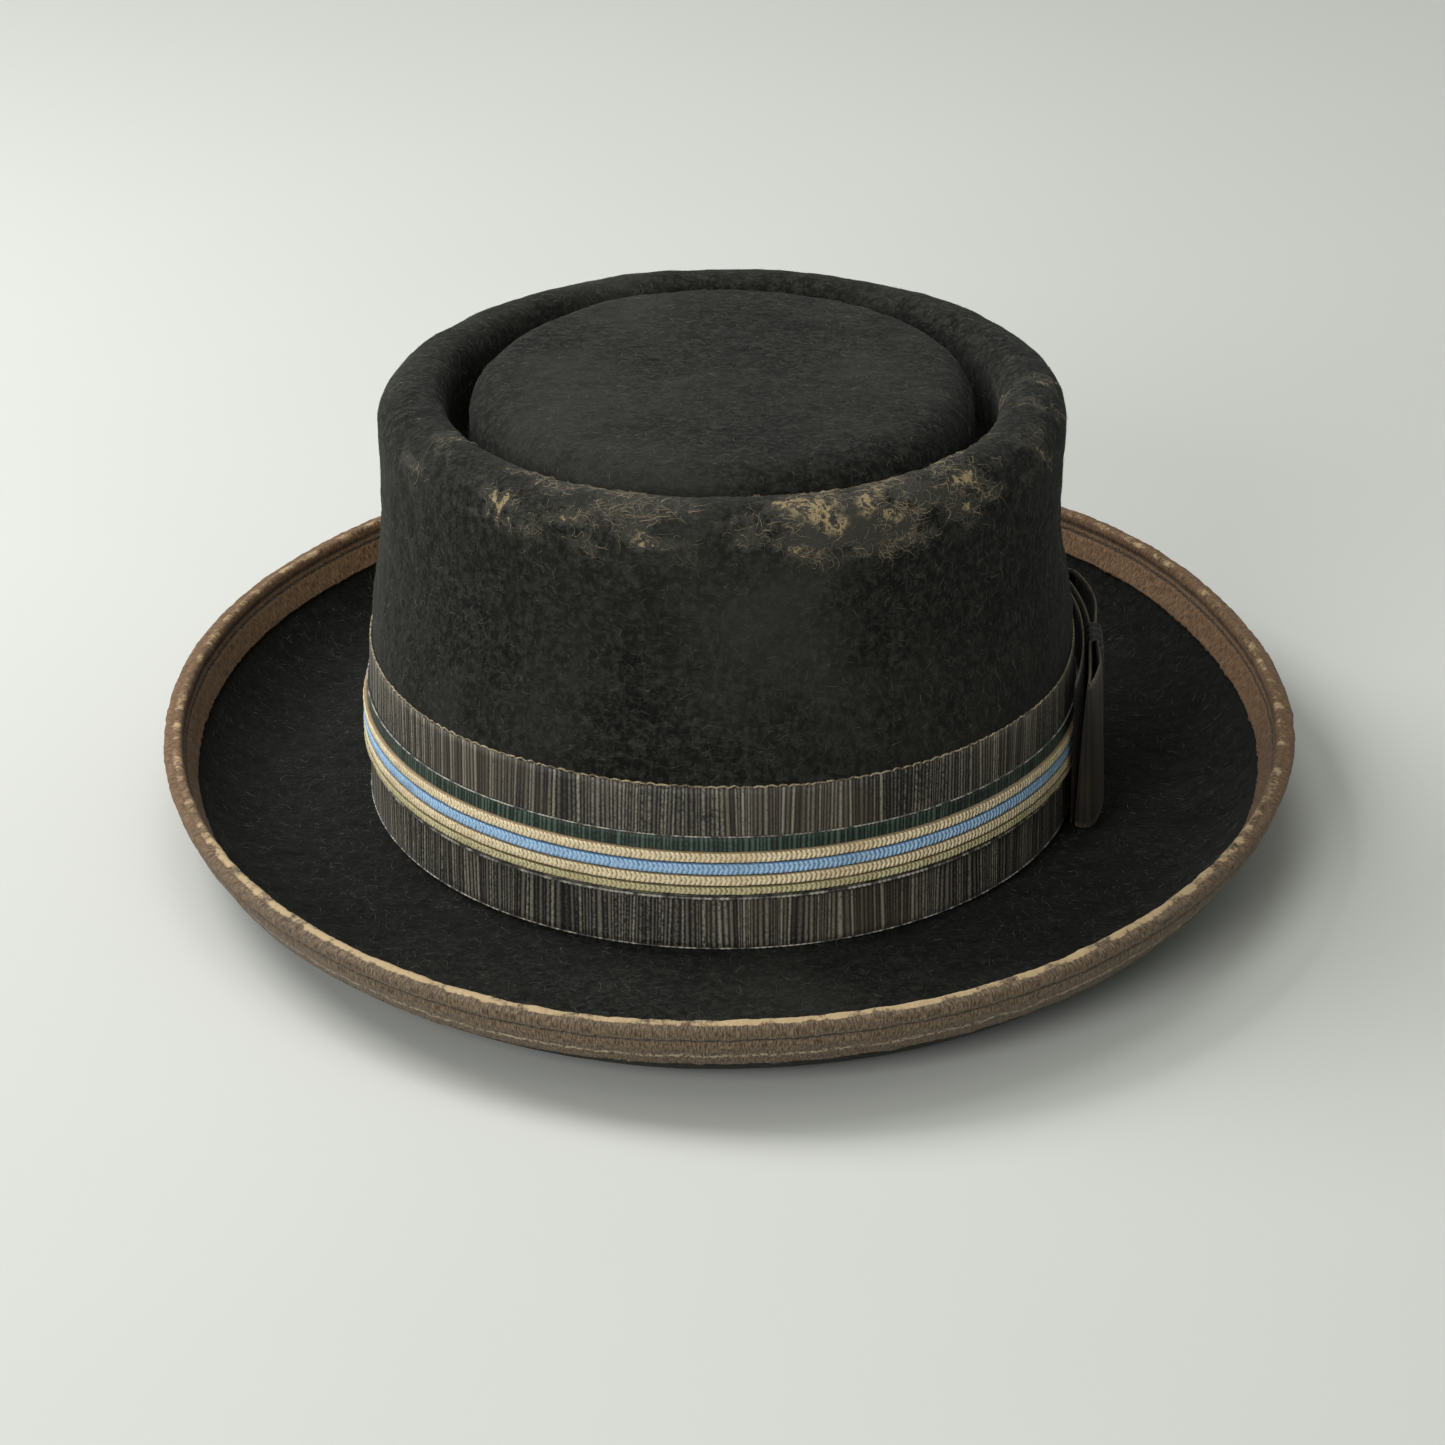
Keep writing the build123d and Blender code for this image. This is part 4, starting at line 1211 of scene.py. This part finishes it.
# %% Paths of the bow
bow_width, bow_thick, knot_width = 37.0, 0.6, 13.8
bow_low, bow_high = box_mm("bow_backing")
bow_middle_z = (bow_low[2] + bow_high[2]) / 2
side_radius = crown_b ** 2 / crown_a
side_x = crown_a - side_radius
on_braid = on_stripe + 1.0 + cloth_gap
knot_y = (box_mm("bow_knot")[0][1] + box_mm("bow_knot")[1][1]) / 2
on_knot = box_mm("bow_knot")[0][0] + 0.9 - crown_a


def beside(stand_off, y):
    """A point beside the crown's left side, at a distance from it."""
    reach = side_radius + stand_off
    return [side_x + math.sqrt(reach ** 2 - y ** 2), y, bow_middle_z]


def smooth(points, rounds=3):
    """The path with its corners cut, so that a ribbon bends and never kinks."""
    points = np.array(points, float)
    for _ in range(rounds):
        cut = np.stack([points[:-1] * 0.75 + points[1:] * 0.25, points[:-1] * 0.25 + points[1:] * 0.75], 1)
        points = np.concatenate([points[:1], cut.reshape(-1, points.shape[1]), points[-1:]])
    return points


def loop_path(tip_y, flare):
    """A flattened loop: from the knot along the crown, round the fold and back over itself."""
    way = 1 if tip_y > knot_y else -1
    reach = abs(tip_y - knot_y)
    shares = [0.02, 0.25, 0.5, 0.75, 0.92, 1.0]
    near_side = [beside(on_knot + 0.35 + flare * s ** 2, knot_y + way * reach * s) for s in shares]
    far_side = [beside(on_knot + pinch + flare * s ** 2 + swell, knot_y + way * reach * s)
                for s, pinch, swell in ((1.0, 1.5, 0.4), (0.95, 1.9, 0.8), (0.75, 1.9, 1.4), (0.5, 1.9, 1.5),
                                        (0.25, 1.8, 0.5), (0.02, 1.8, 0.0))]
    return smooth(near_side + far_side)


print("bow middle, mm:", round(knot_y, 1), round(bow_middle_z, 1))

# %% Backing and loops
backing_ys = np.linspace(bow_low[1] + 0.5, bow_high[1] - 0.5, 12)
backing_path = smooth([beside(on_braid + 0.35 + 0.5 * abs(y / 32) ** 3, y) for y in backing_ys])
upright = (0, 0, 1)
backing, backing_length = ribbon_strip("bow_backing_ribbon", backing_path, upright, bow_width, bow_thick)
front_low = box_mm("bow_front_loop")[0][1]
back_high = box_mm("bow_back_loop")[1][1]
front_loop, front_length = ribbon_strip(
    "bow_front_loop_ribbon", loop_path(front_low + 0.6, 1.3), upright, bow_width, bow_thick,
    lift=lambda across, share: 1.9 * (0.15 - across) * np.sin(np.pi * share) + 0.25 * np.sin(9 * share))
back_loop, back_length = ribbon_strip(
    "bow_back_loop_ribbon", loop_path(back_high - 0.6, 1.8), upright, bow_width, bow_thick,
    lift=lambda across, share: -0.8 * across * np.sin(np.pi * share) + 0.25 * np.sin(7 * share + 1))
print("loop lengths, mm:", round(front_length, 1), round(back_length, 1))

# %% Knot and the bow's finish
knot_low, knot_high = box_mm("bow_knot")
knot_corners = [(knot_low[0] + 0.5, z) for z in (knot_low[2] + 1.4, bow_middle_z, knot_high[2] - 1.4)]
knot_corners += [(knot_low[0] + 1.2, knot_high[2] - 0.35), (knot_high[0] - 1.2, knot_high[2] - 0.35)]
knot_corners += [(knot_high[0] - 0.3, z) for z in (knot_high[2] - 1.6, bow_middle_z, knot_low[2] + 1.6)]
knot_corners += [(knot_high[0] - 1.2, knot_low[2] + 0.35), (knot_low[0] + 1.2, knot_low[2] + 0.35)]
knot_path = smooth([(x, knot_y, z) for x, z in knot_corners + knot_corners[:1]], 2)[:-1]
knot, knot_length = ribbon_strip(
    "bow_knot_ribbon", knot_path, (0, 1, 0), knot_high[1] - knot_low[1] - 1.2, 0.7, closed=True, rows=40,
    lift=lambda across, share: 0.28 * np.cos(2 * np.pi * 3 * across) - 0.5 * across ** 2,
    narrowing=lambda share: 0.90 - 0.10 * np.cos(4 * np.pi * share))
# The bow's tones are darker than the band's as painted shade, and only its rubbed edges stay pale.
bow_painted_shade_finish = ribbon_paint("rubbed bow grosgrain in painted shade", tone(0.0016, 0.0017, 0.0013),
                          tone(0.0085, 0.0085, 0.0064), tone(0.20, 0.155, 0.095), worn_share=0.7,
                          warm=tone(0.026, 0.016, 0.008))
for piece, node, length, width in ((backing, "bow_backing", backing_length, bow_width),
                                   (front_loop, "bow_front_loop", front_length, bow_width),
                                   (back_loop, "bow_back_loop", back_length, bow_width),
                                   (knot, "bow_knot", knot_length, knot_width)):
    dress(piece, bow_painted_shade_finish, "band_ribbon", node)
    declare_sheet(piece, width, length, "folded", "hat_band_ribbon")

# %% [markdown]
# The inside is what the wearer knows best. A leather sweatband turns up against the felt, on a reed in a
# fold of tape. Behind it hangs the satin lining: a pleated side, a corded edge and a tip that sags.

# %% Inside layers
satin_thick, tag_thick = 0.3, 0.2
in_felt = felt_thick + 0.15
in_tape = in_felt + satin_thick
in_tag = in_felt + satin_thick + 0.15
in_sweatband = in_tag + tag_thick + 0.15
leather_thick = 1.1
leather_foot, leather_top = 3.4, 50
seam_depth = 3.6      # from the leather's foot to its stitches
in_leather = in_sweatband + leather_thick + cloth_gap


def inner_run(foot, top):
    """The wall upwards, so that its left is inside."""
    return wall_run(top, foot)[::-1]


print("sweatband starts", round(in_sweatband, 2), "mm inside the wall")


# %% Sweatband
def leather_shape(across, along, length, grid):
    relief = 0.22 * lumps(grid * [1, 1, 0.4], 24, "sweatband waves")
    relief = relief + 0.07 * lumps(grid, 5, "sweatband grain")
    up = across * (leather_top - leather_foot)
    return relief - 0.35 * np.exp(-((up - seam_depth) / 0.8) ** 2), {"height": across}


sweatband, _ = ring_layer("sweatband_leather", inner_run(leather_foot, leather_top), in_sweatband,
                          in_sweatband + leather_thick, 900, 1.1, leather_shape)
paint = Paint("worn sweatband leather")
grain = paint.node("ShaderNodeTexVoronoi", {"feature": "DISTANCE_TO_EDGE"},
                   {"Vector": paint.place(), "Scale": 900.0})
mottle = paint.noise(40, detail=5, roughness=0.65)
height = paint.mark("height")
leather = paint.mix(paint.between(mottle, 0.35, 0.7), tone(0.16, 0.070, 0.030), tone(0.34, 0.17, 0.080))
sweat = (1 - paint.between(height + mottle * 0.5, 0.30, 0.80)) * 0.8
leather = paint.mix(sweat, leather, tone(0.045, 0.022, 0.012))
pores = paint.between(grain, 0.0, 0.12)
leather_normal = paint.bump(pores + mottle, 0.5, 0.0003)
leather_finish = paint.finish(leather, 0.42 + mottle * 0.25, leather_normal, Coat_Weight=0.05)
dress(sweatband, leather_finish, "sweatband_leather", "sweatband")

# %% [markdown]
# One line of waxed stitches runs along the leather's foot, where it is sewn to the reed's tape. They sit
# in the dent that the leather's shape leaves for them.

# %% Sweatband stitches
stitch_count = 178
a, b, z, _ = wall_at(leather_foot + seam_depth)
starts, _ = even_turns(a, b, stitch_count)
t = np.linspace(0, 1, 6)
turns = starts[:, None] + t * (2 * np.pi / stitch_count) * 0.7
inwards = in_leather - 0.35 + 0.42 * np.sin(np.pi * t)
paths = np.stack([(a - inwards) * np.cos(turns), (b - inwards) * np.sin(turns), z + 0.25 * t + 0 * turns], -1)
waxed = thread_paint("waxed tan thread", tone(0.16, 0.10, 0.05), tone(0.42, 0.30, 0.17))
stitches = strands("sweatband_stitch_line", settle(paths), 0.24, sides=6,
                   marks={"shade": dice("leather stitches").random(stitch_count)[:, None]})
dress(stitches, waxed, "leather_thread", "sweatband_stitches")

# %% [markdown]
# A sweatband's foot is kept in shape by a thin cane, the reed, in a fold of cotton tape. The tape is a
# ring whose run turns round the reed, so that the fold is real and the cane shows at its edge.

# %% Reed and its tape
reed_z, fold = 1.6, 0.85
tape_top, foot = wall_at(10), wall_at(leather_foot)


def shifted(point, inwards, z, radius=0):
    """A corner of the tape's run, inside a place on the wall."""
    return point[0] - inwards, point[1] - inwards, z, radius


tape_run = [shifted(tape_top, in_tape, 10), shifted(foot, in_tape, reed_z - fold, fold),
            shifted(foot, in_tape + 2 * fold, reed_z - fold, fold),
            shifted(foot, in_tape + 2 * fold, 3.05)]


def woven(across, along, length, grid):
    return 0.03 * lumps(grid, 3, "tape weave"), {"height": across}


tape, _ = ring_layer("reed_tape_cotton", tape_run, 0, 0.3, 900, 0.5, woven)
paint = Paint("dark cotton tape")
weave = paint.noise(1600, detail=2)
cotton = paint.mix(paint.between(weave, 0.35, 0.65), tone(0.020, 0.017, 0.014), tone(0.085, 0.073, 0.060))
cotton_finish = paint.finish(cotton, 0.85, paint.bump(weave, 0.6, 0.0002))
dress(tape, cotton_finish, "reed_tape", "reed_tape")
reed = thread_ring("sweatband_reed_cane", reed_z, -(in_tape + fold), 0.68, 900)
cane = thread_paint("cane reed", tone(0.26, 0.18, 0.09), tone(0.50, 0.38, 0.22))
dress(reed, cane, "reed", "sweatband_reed")


# %% [markdown]
# At the back the leather's ends meet under a strip of tape with a small bow on it, and a blank card tag is
# tucked behind the leather. All of them are flat pieces that follow the wall, so one call makes them.

# %% Flat pieces on the inside wall
def inside_patch(name, middle, half_width, low, high, near, thick, height=None, puff=None, columns=60,
                 rows=30):
    """A flat piece on the inside wall, about a turn in degrees. height scales it along its width."""
    turn = math.radians(middle)
    share = np.linspace(-1, 1, columns)[None, :]
    up = np.linspace(-1, 1, rows)[:, None]
    zs = (low + high) / 2 + up * (high - low) / 2 * (height(share) if height else 1)
    walls = np.array([wall_at(z)[:2] for z in np.clip(zs, 5, 100).ravel()]).reshape(*zs.shape, 2)
    if walls.shape[1] == 1:
        walls = np.broadcast_to(walls, (rows, columns, 2))
        zs = np.broadcast_to(zs, (rows, columns))
    turns = turn + share * half_width / crown_a
    raised = puff(share, up) if puff else 0 * share * up
    layers = []
    for inwards in (near + thick + raised, near + 0 * raised):
        layers.append(np.stack([(walls[..., 0] - inwards) * np.cos(turns),
                                (walls[..., 1] - inwards) * np.sin(turns), zs], -1))
    return slab(name, *layers, marks={"height": np.broadcast_to((up + 1) / 2, (rows, columns))})


seam_tape = inside_patch("sweatband_seam_cover", 90, 5.5, 9, leather_top, in_leather, 0.3,
                         puff=lambda share, up: 0.08 * np.cos(9 * share) * np.cos(23 * up))
dress(seam_tape, cotton_finish, "reed_tape", "sweatband_seam_tape")

# %% Small bow at the back of the leather
bow_wings = inside_patch("sweatband_bow_wings", 90, 11, 11, 20, in_leather + 0.35, 0.35, columns=90,
                         height=lambda share: 0.36 + 0.64 * np.abs(share) ** 0.7,
                         puff=lambda share, up: 0.5 * np.sin(np.pi * np.abs(share)) * (1 - 0.5 * up ** 2)
                         + 0.08 * np.cos(16 * up) * (1 - np.abs(share)))
bow_loop_knot = inside_patch("sweatband_bow_knot", 90, 2.4, 12.8, 18.2, in_leather + 0.9, 0.5,
                             puff=lambda share, up: 0.45 * (1 - share ** 2) * (1 - up ** 4))
bow_loop_knot.parent = bow_wings
paint = Paint("dark satin ribbon")
weave = paint.noise(1500, detail=2, scale=(1, 1, 0.2))
satin_dark = paint.mix(weave, tone(0.022, 0.014, 0.011), tone(0.085, 0.058, 0.046))
small_bow_finish = paint.finish(satin_dark, 0.38, paint.bump(weave, 0.3, 0.0001), Sheen_Weight=0.15)
bow_loop_knot.data.materials.append(small_bow_finish)
dress(bow_wings, small_bow_finish, "small_bow_ribbon", "sweatband_bow")

# %% Blank tag
tag_turn = math.degrees(math.asin(62 / (crown_b - 6)))
tag = inside_patch("blank_size_tag", tag_turn, 7.5, 32, 47, in_tag, tag_thick,
                   puff=lambda share, up: 0.04 * np.cos(3 * share + up))
paint = Paint("plain tag card")
fibres = paint.noise(700, detail=4)
card = paint.mix(fibres, tone(0.50, 0.45, 0.34), tone(0.70, 0.65, 0.52))
dress(tag, paint.finish(card, 0.8, paint.bump(fibres, 0.3, 0.0001)), "tag_card", "size_tag")

# %% [markdown]
# The lining is an old silk-like satin, once pale gold and now brown in patches. Two scales of noise do it:
# fine threads that run upwards, and broad soft stains.

# %% Lining finish
paint = Paint("aged lining satin")
threads = paint.noise(1500, detail=2, scale=(1, 1, 0.15))
stain = paint.noise(22, detail=5, roughness=0.6)
satin = paint.mix(threads, tone(0.30, 0.225, 0.135), tone(0.50, 0.40, 0.27))
satin = paint.mix(paint.between(stain, 0.50, 0.72) * 0.6, satin, tone(0.20, 0.135, 0.075))
satin_finish = paint.finish(satin, 0.36 + stain * 0.2, paint.bump(threads, 0.3, 0.0001), Sheen_Weight=0.2)
print("lining finish made")


# %% [markdown]
# The side is a strip longer than the wall, gathered under the tip. Its folds are gentle, since there is
# little room behind the leather, and they flatten towards the foot.

# %% Lining side
def pleated(across, along, length, grid):
    """Soft upright pleats, gathered at the top and flatter towards the foot."""
    count = round(length / 11)
    uneven = 2.2 * np.sin(along / length * 2 * np.pi * 5 + 1) + 1.1 * np.sin(along / length * 2 * np.pi * 13)
    fold = np.cos(2 * np.pi * (along + uneven) / length * count)
    gather = 0.25 + 0.75 * across
    return 0.34 * fold * gather + 0.16 * lumps(grid, 14, "lining folds") + 0.2, {"height": across}


lining_foot, lining_top = 26, groove_z - felt_thick - 1.6
lining_side, side_length = ring_layer("lining_side_satin", inner_run(lining_foot, lining_top), in_felt,
                                      in_felt + satin_thick, 1100, 1.6, pleated)
dress(lining_side, satin_finish, "lining_satin", "lining_side")
declare_sheet(lining_side, lining_top - lining_foot, side_length, "gathered", "felt_hood")

# %% [markdown]
# A piping covers the seam between the side and the tip, and the tip hangs a little in the middle under its
# own weight. Small gathers at its edge show where it was drawn in.

# %% Lining piping
piping_in = in_felt + satin_thick + 0.15 + 0.8
tip_z = lining_top - 1.6
piping = thread_ring("lining_piping_cord", tip_z + 0.15, -piping_in, 0.72, 1600, bead=0.18, pitch=1.8)
piping_thread = thread_paint("satin piping", tone(0.16, 0.10, 0.055), tone(0.34, 0.24, 0.14))
dress(piping, piping_thread, "lining_piping", "lining_piping")

# %% Lining tip
tip_columns = 480
tip_wall = wall_at(tip_z)
tip_a, tip_b = tip_wall[0] - piping_in - 0.85, tip_wall[1] - piping_in - 0.85
shares = np.concatenate([np.linspace(0.012, 0.9, 44), np.linspace(0.92, 1, 10)])
tip_turns = np.linspace(0, 2 * np.pi, tip_columns, endpoint=False)
top_face = np.stack([tip_a * shares[:, None] * np.cos(tip_turns), tip_b * shares[:, None] * np.sin(tip_turns),
                     tip_z + satin_thick - 1.4 * (1 - shares[:, None] ** 2) + 0 * tip_turns], -1)
gathers = 0.16 * np.sin(tip_turns * 58) * step_up(shares, 0.55, 0.98)[:, None]
sag = gathers + 0.25 * lumps(top_face, 34, "tip sag") * (1 - shares[:, None] ** 6)
top_face[..., 2] += sag
under_face = top_face - [0, 0, satin_thick]
lining_tip = capped("lining_tip_satin", settle(np.concatenate([top_face, under_face[::-1]])))
dress(lining_tip, satin_finish, "lining_satin", "lining_tip")
declare_sheet(lining_tip, 2 * tip_a, 2 * tip_b, "hung", "lining_side_satin",
              area=math.pi * tip_a * tip_b * MM ** 2)
